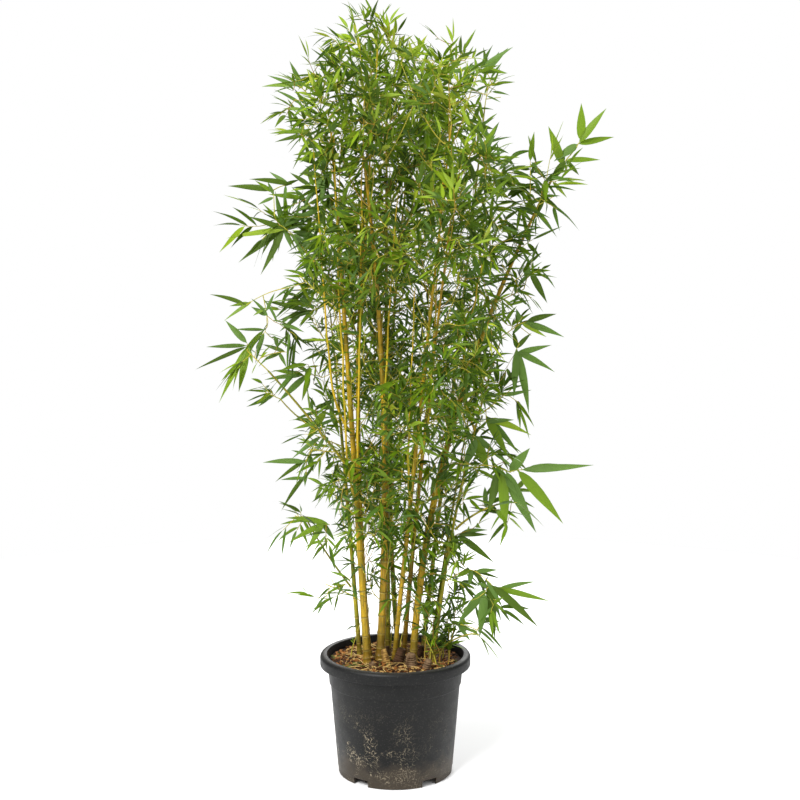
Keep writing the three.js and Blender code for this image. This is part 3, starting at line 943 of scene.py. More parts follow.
@dataclass
class PottingMix:
    """Potting mix with chips of bark, straw and the clump's old stubs on it."""

    top: float = SOIL_TOP
    mound: float = 3
    floor: float = 16.8
    flat_radius: float = 84
    foot_radius: float = 104.6
    edge_radius: float = 122.6
    shoulder: float = 195
    relief: float = 2.2
    rings: int = 44
    facets: int = 132
    chips: int = 1500
    fibres: int = 220
    # x, y, radius, height, bearing, rise and finish of each stub
    stubs: tuple[tuple[float, float, float, float, float, float, int], ...] = (
        (-14, -34, 6.3, 27, 200, 76, 0), (4, -32, 9.2, 28, 20, 74, 1),
        (30, -54, 9.4, 25, 250, 80, 2), (56, -62, 6.9, 18, 300, 68, 2),
        (-38, -54, 5.8, 11, 230, 60, 2), (46, 4, 6.3, 21, 60, 76, 1),
        (-12, 14, 5.2, 18, 110, 72, 2),
    )

    def height(self, x: float, y: float) -> float:
        """Height of the mix's surface.

        Args:
            x: Millimetres to the right.
            y: Millimetres to the back.

        Returns:
            The height in millimetres.
        """
        radius = math.hypot(x, y)
        fall = max(0.0, (radius - self.flat_radius) / (self.edge_radius - self.flat_radius))
        coarse = noise.noise(Vector((x * 0.06, y * 0.06, 3.1)))
        fine = noise.noise(Vector((x * 0.21, y * 0.21, 7.7)))
        return self.top - self.mound * min(fall, 1) + self.relief * (0.7 * coarse + 0.5 * fine)

    def build(self) -> None:
        """Builds and dresses the mix and all that lies on it."""
        points = [
            circle(self.foot_radius, self.floor, self.facets),
            circle(self.edge_radius, self.shoulder, self.facets),
        ]
        for ring in range(self.rings):
            points.append(circle(self.edge_radius * (1 - ring / self.rings), 0, self.facets))
            points[-1][:, 2] = [self.height(x, y) for x, y, _ in points[-1]]
        plan = MeshPlan("potting_mix")
        plan.add(np.vstack(points), ring_faces(len(points), self.facets))
        finish = EarthFinish("mix_dark", 0x261202, 0x3A220A, 70.0, 420.0, 0.0022)
        settle(plan.make([finish.build()]), ["soil"])
        self.set_stubs()
        self.scatter_chips()
        self.scatter_fibres()

    def spot(self, dice: Dice, reach: float) -> tuple[float, float]:
        """An even random place on the mix, no farther from the middle than reach."""
        radius, turn = reach * math.sqrt(dice.next()), 2 * math.pi * dice.next()
        return radius * math.cos(turn), radius * math.sin(turn)

    def set_stubs(self) -> None:
        """Sets the old ringed stubs of the rhizome among the canes' feet."""
        dice = Dice(733)
        plan = MeshPlan("rhizome_stubs")
        for x, y, radius, height, bearing, rise, slot in self.stubs:
            way = heading(bearing, rise)
            foot = np.array((x, y, self.top - 6.0))
            ups = np.linspace(0, height + 6, 4 * int(height / 5) + 5)
            path = np.array([foot + way * up for up in ups])
            radii = [
                radius * (1.16 - 0.34 * k / len(ups)) * (1.12 if k % 3 == 0 else 1)
                * dice.between(0.95, 1.05) for k in range(len(ups))
            ]
            radii[-1] *= 0.72
            points, faces = tube(path, radii, 14)
            points = points + np.array([[dice.swing(0.5) for _ in range(3)] for _ in points])
            plan.add(points, faces, slot)
        finishes = (
            EarthFinish("stub_tan", 0xAC8848, 0x684A24, 150.0, 420.0, 0.0012, 0.8),
            EarthFinish("stub_dark", 0x4A3220, 0x30200F, 110.0, 520.0, 0.001, 0.85),
            EarthFinish("stub_grey", 0x7A6248, 0x4E3A26, 110.0, 520.0, 0.001, 0.85),
        )
        settle(plan.make([finish.build() for finish in finishes], 40))

    def scatter_chips(self) -> None:
        """Strews chips of bark, each a rough little block, in four tones."""
        dice = Dice(4021)
        finishes = (
            EarthFinish("bark_dark", 0x321A06, 0x4A2E12),
            EarthFinish("bark_russet", 0x744820, 0x8C5A28),
            EarthFinish("bark_tan", 0xA27E46, 0xBE9A5E),
            EarthFinish("bark_mossy", 0x3E4218, 0x5A5C26),
        )
        plans = [MeshPlan(f"bark_chips_{tone}") for tone in ("dark", "russet", "tan", "mossy")]
        for _ in range(self.chips):
            x, y = self.spot(dice, self.edge_radius - 5)
            size = dice.next() ** 2
            half = np.array((mix(1.6, 6.5, size), mix(1.1, 3, size), mix(0.6, 1.5, dice.next())))
            frame_x = heading(360 * dice.next(), dice.swing(24))
            frame_z = unit(np.cross(frame_x, np.cross(UP, frame_x)) + 0.3 * np.array(
                (dice.swing(1), dice.swing(1), 0.0)))
            frame_y = unit(np.cross(frame_z, frame_x))
            frame_z = np.cross(frame_x, frame_y)
            middle = np.array((x, y, self.height(x, y) + half[2] * dice.between(-0.1, 1)))
            corners = []
            for z in (-1, 1):
                for a, b in ((-1, -1), (0.1, -1), (1, -0.6), (0.9, 0.8), (-0.2, 1), (-1, 0.5)):
                    corners.append(
                        middle + frame_x * a * half[0] * dice.between(0.75, 1.1)
                        + frame_y * b * half[1] * dice.between(0.7, 1.15)
                        + frame_z * z * half[2] * dice.between(0.7, 1.2)
                    )
            shade = dice.next()
            mossy = noise.noise(Vector((x * 0.035, y * 0.035, 5.5))) > 0.12
            plan = plans[3 if mossy and shade < 0.4 else 0 if shade < 0.52
                         else 1 if shade < 0.88 else 2]
            plan.add(np.array(corners), ring_faces(2, 6))
        for plan, finish in zip(plans, finishes):
            settle(plan.make([finish.build()], 20))

    def scatter_fibres(self) -> None:
        """Strews thin bent straws and coir fibres."""
        dice = Dice(911)
        plan = MeshPlan("straw_fibres")
        for _ in range(self.fibres):
            x, y = self.spot(dice, self.edge_radius - 14)
            length = mix(7, 34, dice.next() ** 1.6)
            way = heading(360 * dice.next(), dice.swing(9))
            start = np.array((x, y, self.height(x, y) + 1.6)) - way * length / 2
            end = start + way * length
            for point in (start, end):
                reach = math.hypot(point[0], point[1])
                if reach > self.edge_radius - 4:
                    point[:2] *= (self.edge_radius - 4) / reach
                point[2] = max(point[2], self.height(point[0], point[1]) + 0.6)
            bend = (start + end) / 2 + np.array(
                (dice.swing(0.25), dice.swing(0.25), dice.between(0.02, 0.16))) * length
            path = arc(start, bend, end, (0, 0.25, 0.5, 0.75, 1))
            girth = dice.between(0.35, 0.8)
            points, faces = tube(path, [girth * 0.6, girth, girth, girth, girth * 0.5], 4)
            plan.add(points, faces)
        finish = EarthFinish("straw", 0xB49456, 0xD2B272, 60.0, 500.0, 0.0003, 0.75)
        settle(plan.make([finish.build()]))


# --- Canes and boughs ---


@dataclass
class Limb:
    """A cane or bough: the straight steps of its solid, and the smooth way between them."""

    name: str
    points: Vec
    radii: Vec
    way: Callable[[float], Vec]
    girth: Callable[[float], float]

    def at(self, share: float) -> tuple[Vec, Vec, float]:
        """Finds a place on the straight steps.

        Args:
            share: How far from the foot to the tip.

        Returns:
            The point, the direction and the radius there.
        """
        place = share * (len(self.points) - 1)
        step = min(int(place), len(self.points) - 2)
        low, high = self.points[step], self.points[step + 1]
        point = low + (high - low) * (place - step)
        radius = mix(self.radii[step], self.radii[step + 1], place - step)
        return point, unit(high - low), radius

    def seat(self, share: float, direction: Vec, foot_radius: float, sides: int) -> Vec:
        """Finds where a shoot's foot sits, its nearest corner just off this limb.

        Args:
            share: How far up this limb.
            direction: The shoot's own direction.
            foot_radius: The shoot's radius at its foot.
            sides: Corners round the shoot.

        Returns:
            The middle of the shoot's foot.
        """
        point, ahead, radius = self.at(share)
        if share == 1:
            outward = ahead
        else:
            outward = unit(direction - ahead * float(direction @ ahead))
        across, aside = square_to(direction)
        turns = 2 * math.pi * np.arange(sides) / sides
        corners = foot_radius * (
            np.outer(np.sin(turns), across) + np.outer(np.cos(turns), aside))
        back = float(np.max(-(corners @ outward)))
        return point + outward * ((0 if share == 1 else radius) + SEAT + back)


def grow_cane(name: str) -> Limb:
    """Grows a cane by the part's own rule.

    Args:
        name: The cane's name.

    Returns:
        The cane.
    """
    x, y, girth, height, lean_x, lean_y, bow_x, bow_y = CANES[name]
    slope_x, slope_y = math.tan(math.radians(lean_x)), math.tan(math.radians(lean_y))

    def way(share: float) -> Vec:
        """The cane's middle at a share of its height."""
        rise = share * height
        return np.array((
            x + slope_x * rise + bow_x * share**2, y + slope_y * rise + bow_y * share**2,
            SOIL_TOP + SEAT + rise,
        ))

    def thickness(share: float) -> float:
        """The cane's radius at a share of its height, with its flared foot."""
        flare = 0.35 * max(0.0, 1 - share / 0.02) ** 2
        return girth / 2 * (mix(1, 0.3, share**1.4) + flare)

    shares = [0.0] + [mix(0.02, 1, step / 6) for step in range(7)]
    points = np.array([way(share) for share in shares])
    points[1][:2] = points[0][:2]
    radii = np.array([thickness(share) for share in shares])
    return Limb(name, points, radii, way, thickness)


def grow_bough(name: str, limbs: dict[str, Limb]) -> Limb:
    """Grows a bough by the part's own rule.

    Args:
        name: The bough's name.
        limbs: The limbs so far.

    Returns:
        The bough.
    """
    on, at, bearing, rise_start, rise_end, length, girth = BOUGHS[name]
    start, end = heading(bearing, rise_start), heading(bearing, rise_end)
    foot = limbs[on].seat(at, start, girth / 2, 7)
    bend = foot + start * length / 2
    tip = bend + end * length / 2

    def way(share: float) -> Vec:
        """The bough's middle at a share of its length."""
        return arc(foot, bend, tip, [share])[0]

    def thickness(share: float) -> float:
        """The bough's radius at a share of its length."""
        return girth / 2 * mix(1, 0.62, share)

    shares = [step / 4 for step in range(5)]
    points = np.array([way(share) for share in shares])
    return Limb(name, points, np.array([thickness(s) for s in shares]), way, thickness)


@dataclass
class Culms:
    """The dressed canes and boughs, with a ring, a scar and a pale bloom at each joint."""

    limbs: dict[str, Limb]
    sides: int = 14
    first_joint: float = 11
    longest_joint: float = 70
    # offset from the joint in ring heights, swell of the radius, slot of the faces above
    ring: tuple[tuple[float, float, int], ...] = (
        (-3.4, 1.0, 2), (-1.3, 1.03, 1), (-0.75, 1.13, 1), (-0.1, 1.02, 0), (0.7, 1.1, 0),
        (1.6, 1.05, 0), (3.4, 1.0, 0),
    )

    def joints(self, limb: Limb, length: float, dice: Dice) -> list[float]:
        """Works out where the joints are.

        Args:
            limb: The limb.
            length: Its length.
            dice: The generator.

        Returns:
            Heights above the foot, in millimetres.
        """
        cane = limb.name.startswith("cane")
        spans = (self.first_joint, self.longest_joint) if cane else (16, 34)
        heights, gap = [], spans[0] * dice.between(0.8, 1.2)
        reach = gap
        while reach < length - 12:
            heights.append(reach)
            share = reach / length
            longest = spans[1] * mix(1, 0.55, share**2)
            gap = min(gap * 1.32 + 3, longest) * dice.between(0.86, 1.12)
            reach += gap
        return heights

    def build(self) -> None:
        """Builds and dresses every cane and bough."""
        gold, olive, amber = (culm.value.build() for culm in Culm)
        scar = EarthFinish("sheath_scar", 0x6A5420, 0x84702C, 120.0, 900.0, 0.0003, 0.8)
        bloom = EarthFinish("joint_bloom", 0xA8944A, 0x8E7E38, 90.0, 900.0, 0.0002, 0.7)
        bark = (scar.build(), bloom.build())
        skins = {
            "cane_left_thin": olive, "cane_left_thick": gold, "cane_left_inner": gold,
            "cane_centre_thick": amber, "cane_centre_rear": olive, "cane_back": olive,
            "cane_front_right": amber, "cane_front": gold, "cane_right_thick": gold,
            "cane_back_right": olive, "cane_right_thin": olive, "cane_right_short": olive,
        }
        for index, limb in enumerate(self.limbs.values()):
            skin = skins.get(limb.name, olive)
            plan = self.plan_limb(limb, Dice(3301 + 83 * index))
            piece = plan.make([skin, *bark], 50)
            settle(piece, [limb.name])

    def plan_limb(self, limb: Limb, dice: Dice) -> MeshPlan:
        """Plans one limb's mesh, ring by ring.

        Args:
            limb: The limb.
            dice: The generator.

        Returns:
            The mesh plan.
        """
        kind, place = limb.name.split("_", 1)
        fine = np.array([limb.way(s) for s in np.linspace(0, 1, 25)])
        length = float(np.sum(lengths(np.diff(fine, axis=0))))
        scale = float(np.clip(limb.girth(0.1) / 5, 0.45, 1))
        rows: list[tuple[float, float, int]] = [(0.0, 1.0, 0)]
        last = 0.0
        for joint in self.joints(limb, length, dice):
            for share in (1 / 3, 2 / 3):
                rows.append((mix(last, joint, share), 0.97, 0))
            rows += [(joint + at * scale, swell, slot) for at, swell, slot in self.ring]
            last = joint
        rows += [(mix(last, length, 0.5), 0.98, 0), (length - 0.6, 1.0, 0), (length, 0.7, 0)]
        rows = [row for i, row in enumerate(rows) if i == 0 or row[0] > rows[i - 1][0] + 0.2]
        path = np.array([limb.way(row[0] / length) for row in rows])
        radii = [limb.girth(row[0] / length) * row[1] for row in rows]
        sides = self.sides if kind == "cane" else 8
        points, faces = tube(path, radii, sides)
        plan = MeshPlan(f"culm_{place}" if kind == "cane" else f"branch_{place}")
        start = plan.add(points, faces[-2:])
        for i, row in enumerate(rows[:-1]):
            wall = faces[i * sides:(i + 1) * sides]
            plan.faces += [tuple(start + p for p in face) for face in wall]
            plan.slots += [row[2]] * sides
        return plan


# --- Foliage ---


@dataclass
class Leaves:
    """Leaves of one tint, gathered to be shaped all at once."""

    roots: list[Vec] = field(default_factory=list)
    along: list[Vec] = field(default_factory=list)
    across: list[Vec] = field(default_factory=list)
    sizes: list[tuple[float, ...]] = field(default_factory=list)

    # where along the blade, and half its width there beside the widest
    OUTLINE = ((0.0, 0.1), (0.035, 0.13), (0.09, 0.52), (0.19, 0.87), (0.33, 1.0), (0.48, 0.95),
               (0.64, 0.74), (0.8, 0.42), (0.92, 0.16))

    def add(self, root: Vec, along: Vec, across: Vec, *sizes: float) -> None:
        """Adds a leaf.

        Args:
            root: Where it leaves its twig.
            along: Unit vector towards its tip.
            across: Unit vector across it.
            *sizes: Length, width, droop and bow beside the length, fold, twist and waviness.
        """
        self.roots.append(root)
        self.along.append(along)
        self.across.append(across)
        self.sizes.append(sizes)

    def plan(self, name: str) -> MeshPlan:
        """Shapes every leaf: a narrow blade folded along its rib, drooping to a long point.

        Args:
            name: The piece's name.

        Returns:
            The mesh plan.
        """
        roots, along, across = (np.array(a) for a in (self.roots, self.along, self.across))
        length, width, droop, bow, fold, twist, wave = np.array(self.sizes).T
        face = np.cross(across, along)
        down = np.array((0, 0, -1.0))
        bend = down * droop[:, None] + across * bow[:, None]
        columns, uvs = [], []
        for t, half in self.OUTLINE:
            spine = roots + along * (length * t)[:, None] + bend * (length * t**2)[:, None]
            turn = twist * t
            side = across * np.cos(turn)[:, None] + face * np.sin(turn)[:, None]
            lift = face * np.cos(turn)[:, None] - across * np.sin(turn)[:, None]
            reach = width / 2 * half
            for x in (-1, 0, 1):
                ripple = wave * width * np.sin(9 * t + 2 * x + twist * 7) * abs(x) * half
                rise = fold * reach * abs(x) + ripple
                columns.append(spine + side * (x * reach)[:, None] + lift * rise[:, None])
                uvs.append((x / 2 + 0.5, t))
        columns.append(roots + (along + bend) * length[:, None])
        uvs.append((0.5, 1.0))
        points = np.stack(columns, axis=1)
        count, rows = len(columns), len(self.OUTLINE)
        pattern = []
        for row in range(rows - 1):
            low, high = 3 * row, 3 * row + 3
            for x in (0, 1):
                pattern.append((low + x, low + x + 1, high + x + 1, high + x))
        tip = 3 * (rows - 1)
        pattern += [(tip, tip + 1, count - 1), (tip + 1, tip + 2, count - 1)]
        plan = MeshPlan(name)
        for block in points:
            plan.add(block, pattern, 0, np.array(uvs))
        return plan


@dataclass(frozen=True)
class Habit:
    """How a kind of mass is filled with sprays of leaves on fine twigs."""

    sprays: float
    offers: int
    leaves: tuple[int, int]
    twiglet: tuple[float, float]
    inset: float
    outward: float
    stray: float
    lift: float
    leaf_share: tuple[float, float]
    width_share: tuple[float, float]
    droop: tuple[float, float]
    sink: tuple[float, float]
    spacing: float


class Growth(Enum):
    """The habits of the clump's masses: the crown, the middle, open, or open and large."""

    CROWN = Habit(43, 4, (3, 5), (10, 62), 12, 0.3, 0.7, 0.5, (0.29, 0.48), (0.125, 0.155),
                  (0.0, 0.24), (-0.35, 0.3), 6.5)
    MIDDLE = Habit(42, 4, (3, 5), (10, 62), 10, 0.3, 0.85, 0.15, (0.26, 0.45), (0.125, 0.155),
                   (0.02, 0.32), (-0.35, 0.45), 6.5)
    OPEN = Habit(9, 5, (3, 5), (14, 70), 26, 0.6, 0.6, 0.1, (0.4, 0.64), (0.12, 0.15),
                 (0.04, 0.22), (-0.1, 0.5), 8)
    LARGE = Habit(1.4, 8, (3, 5), (20, 110), 34, 1.0, 0.4, 0.1, (0.42, 0.66), (0.13, 0.16),
                  (0.04, 0.22), (-0.1, 0.45), 9)


# how much of its habit's sprays a mass has, where that isn't all
FULLNESS: dict[str, float] = {
    "crown_left_top": 0.3, "crown_back_right": 0.6, "crown_front": 0.42, "crown_top": 0.75,
    "crown_top_rear": 0.5, "crown_front_right": 0.62, "crown_right_rear": 0.5,
    "crown_left_rear": 0.6, "middle_right": 0.7, "back_right": 0.65, "middle_left": 0.42,
    "spray_left_high": 0.35, "spray_left_upper": 0.25, "spray_left_low": 0.0,
    "spray_left_foot": 0.25, "spray_left_inner": 0.25, "spray_left_mid": 0.3,
    "spray_left_long": 0.3, "spray_right_high": 1.4, "spray_right_upper": 0.3,
    "spray_right_mid": 0.1, "crown_right": 0.5, "spray_right_lower": 0.8,
    "spray_right_long": 0.0, "spray_right_low": 0.0, "spray_right_back": 0.25,
}

# outer sprays: each one's hub, then its leaves' slope in the front plane, length and width
Spray = tuple[Point, tuple[Point, ...]]
OUTER_SPRAYS: tuple[Spray, ...] = (
    ((-171, -60, 1253), ((180, 64, 8), (161, 62, 8), (140, 38, 7), (116, 56, 9))),
    ((-151, -60, 1172), ((182, 72, 8), (196, 66, 8), (165, 42, 7), (238, 70, 9))),
    ((-214, -60, 1071), ((178, 88, 11), (150, 40, 8), (115, 26, 6), (205, 30, 6))),
    ((-183, -45, 1082), ((168, 78, 10), (150, 46, 8), (265, 40, 8), (20, 34, 7))),
    ((-187, -60, 998), ((157, 80, 11), (188, 106, 10), (213, 104, 15), (244, 92, 13),
     (104, 68, 11), (50, 44, 8), (290, 40, 8))),
    ((-151, -40, 856), ((166, 88, 10), (196, 66, 10), (222, 40, 8), (140, 44, 8))),
    ((-264, -60, 869), ((160, 70, 8), (190, 36, 7), (214, 60, 7))),
    ((-229, -50, 850), ((150, 34, 9), (66, 40, 6), (215, 26, 6))),
    ((-267, -30, 800), ((137, 62, 12), (184, 74, 9), (208, 104, 9), (239, 108, 15), (264, 84, 14),
     (292, 32, 8))),
    ((-190, -55, 785), ((92, 40, 9), (160, 46, 8), (200, 38, 7), (300, 30, 7))),
    ((-169, -20, 740), ((188, 74, 9), (170, 60, 9), (221, 72, 12), (255, 50, 12), (150, 56, 8))),
    ((-131, -20, 676), ((195, 58, 7), (237, 68, 15), (292, 54, 12), (172, 34, 8))),
    ((-135, 0, 628), ((212, 66, 9), (236, 30, 7), (140, 24, 6), (300, 26, 6))),
    ((-165, 20, 578), ((178, 82, 11), (211, 72, 8), (160, 36, 6), (282, 34, 12))),
    ((-166, 20, 547), ((184, 48, 7), (233, 84, 8), (262, 30, 7))),
    ((-122, 20, 459), ((168, 88, 12), (206, 80, 11), (238, 64, 11), (301, 48, 10), (190, 42, 7))),
    ((-91, 10, 350), ((209, 48, 6), (240, 26, 5), (175, 24, 5))),
    ((-164, -50, 1213), ((180, 36, 7), (151, 62, 6), (122, 36, 7), (226, 34, 7))),
    ((-169, -30, 1190), ((128, 34, 6), (152, 36, 7), (188, 28, 6), (250, 34, 7))),
    ((-134, -60, 1129), ((193, 46, 7), (179, 52, 7), (238, 42, 8), (140, 36, 8))),
    ((-130, -20, 1150), ((176, 42, 8), (158, 38, 8), (206, 50, 9), (260, 40, 8))),
    ((-130, -60, 1098), ((172, 40, 8), (242, 46, 8), (262, 54, 11), (206, 42, 8))),
    ((-148, -20, 1120), ((110, 44, 8), (164, 40, 7), (214, 46, 8), (288, 36, 8))),
    ((-150, -50, 1080), ((150, 44, 8), (190, 40, 8), (110, 36, 8), (244, 42, 8))),
    ((-118, -40, 1112), ((128, 40, 8), (176, 46, 8), (230, 44, 8), (262, 40, 8))),
    ((-120, -30, 1066), ((140, 40, 8), (196, 46, 8), (236, 44, 8), (282, 38, 8))),
    ((-160, -40, 1056), ((136, 34, 8), (252, 36, 8), (20, 32, 7), (206, 40, 7))),
    ((-151, -60, 1024), ((170, 34, 7), (250, 30, 8), (30, 30, 7), (200, 32, 7))),
    ((151, -60, 1282), ((37, 68, 9), (64, 50, 8), (-4, 36, 7), (22, 40, 7), (100, 34, 7))),
    ((101, -60, 1284), ((92, 36, 8), (60, 30, 7), (128, 30, 7), (10, 34, 7), (180, 30, 7))),
    ((143, -60, 1180), ((26, 38, 8), (-8, 34, 8), (-38, 44, 9), (64, 40, 8), (-80, 34, 8))),
    ((150, -20, 1140), ((-22, 46, 9), (12, 38, 8), (-58, 42, 9), (80, 36, 8))),
    ((171, 150, 1318), ((-12, 46, 9), (46, 66, 11), (66, 50, 9), (96, 54, 10), (150, 44, 8))),
    ((174, 100, 1177), ((110, 40, 9), (62, 46, 9), (200, 34, 7), (-10, 40, 8))),
    ((238, -60, 1121), ((86, 52, 11), (-42, 40, 9), (22, 26, 7), (172, 34, 8))),
    ((330, -30, 1160), ((89, 66, 16), (55, 80, 14), (13, 72, 12), (214, 52, 16))),
    ((299, -30, 1117), ((113, 76, 16), (124, 48, 14), (5, 64, 10), (-47, 34, 9), (236, 52, 14))),
    ((261, -30, 1064), ((-36, 48, 8), (8, 32, 7), (114, 56, 9), (206, 36, 8), (250, 40, 9))),
    ((245, -30, 985), ((20, 62, 5), (100, 32, 14), (-52, 34, 8), (160, 34, 8))),
    ((242, -30, 931), ((-63, 66, 13), (7, 40, 8), (226, 32, 8), (88, 34, 12))),
    ((234, -55, 839), ((16, 60, 11), (-17, 76, 12), (-31, 50, 9), (112, 30, 10), (226, 26, 8))),
    ((212, -60, 780), ((14, 72, 12), (-24, 78, 12), (-74, 118, 15), (-94, 88, 13), (48, 42, 10),
     (100, 34, 9))),
    ((163, -60, 659), ((8, 52, 10), (-14, 84, 14), (-62, 82, 16), (-48, 90, 12))),
    ((145, -80, 632), ((-112, 56, 17), (-68, 66, 20), (-40, 54, 12), (170, 34, 9))),
    ((202, -92, 574), ((50, 60, 18), (-64, 122, 22), (-88, 112, 20), (-108, 86, 17),
     (-52, 66, 12))),
    ((228, -92, 578), ((7, 92, 14), (0, 130, 15), (-46, 130, 20))),
    ((119, -30, 453), ((12, 52, 10), (-2, 56, 9), (-37, 82, 13), (-108, 48, 16))),
    ((145, -60, 389), ((-2, 44, 9), (-22, 56, 8), (-44, 44, 10), (-100, 30, 12), (-150, 34, 10))),
    ((182, -60, 354), ((9, 80, 9), (-17, 108, 13), (-41, 108, 16), (-80, 112, 17), (-56, 56, 10))),
    ((162, -60, 350), ((-96, 80, 17), (-129, 82, 16), (160, 26, 8))),
    ((104, -30, 284), ((2, 44, 8), (-22, 50, 8), (-56, 40, 8), (160, 26, 6), (100, 22, 6))),
)


@dataclass
class Mass:
    """One mass of foliage: its stem and the ball that its space is cut from."""

    name: str
    index: int
    limb: Limb
    at: float
    middle: Vec
    foot: Vec
    tip: Vec
    radius: float
    leaf_length: float

    @property
    def growth(self) -> Growth:
        """The mass's habit."""
        if self.leaf_length > 120 or self.name == "crown_right_tip":
            return Growth.LARGE
        if self.name.startswith("spray"):
            return Growth.OPEN
        return Growth.CROWN if self.name.startswith("crown") else Growth.MIDDLE


@dataclass
class Twig:
    """A twig of the rule: straight from foot to tip."""

    foot: Vec
    tip: Vec


def segment_gaps(start: Vec, end: Vec, lows: Vec, highs: Vec) -> Vec:
    """Distances from one straight segment to many.

    Args:
        start: One end of the segment.
        end: Its other end.
        lows: One end of each of the others, a row each.
        highs: Their other ends.

    Returns:
        The distance to each.
    """
    u, v, w = end - start, highs - lows, start - lows
    uu, uv, vv = float(u @ u), v @ u, np.sum(v * v, axis=1)
    uw, vw = w @ u, np.sum(v * w, axis=1)
    spread = uu * vv - uv * uv
    ahead = np.clip((uv * vw - vv * uw) / np.maximum(spread, 1e-9), 0, 1)
    s = np.where(spread > 1e-9, ahead, 0)
    t = np.clip((uv * s + vw) / vv, 0, 1)
    s = np.clip((uv * t - uw) / uu, 0, 1)
    return lengths(w + s[:, None] * u - t[:, None] * v)


class Network:
    """Points along the twigs that are there, where finer ones may join."""

    def __init__(self) -> None:
        """Starts with none."""
        self.points = np.empty((0, 3))
        self.ways = np.empty((0, 3))

    def add(self, path: Vec) -> None:
        """Adds a twig.

        Args:
            path: Its points from foot to tip.
        """
        steps = np.diff(path, axis=0)
        ways = steps / lengths(steps)[:, None]
        self.points = np.vstack((self.points, path[1:]))
        self.ways = np.vstack((self.ways, ways))

    def offers(self, spot: Vec) -> tuple[Vec, Vec, Vec]:
        """The way from every point to a spot, its length, and how well the twig heads there."""
        away = spot - self.points
        gap = lengths(away)
        return away, gap, np.sum(away * self.ways, axis=1) / np.maximum(gap, 1e-6)


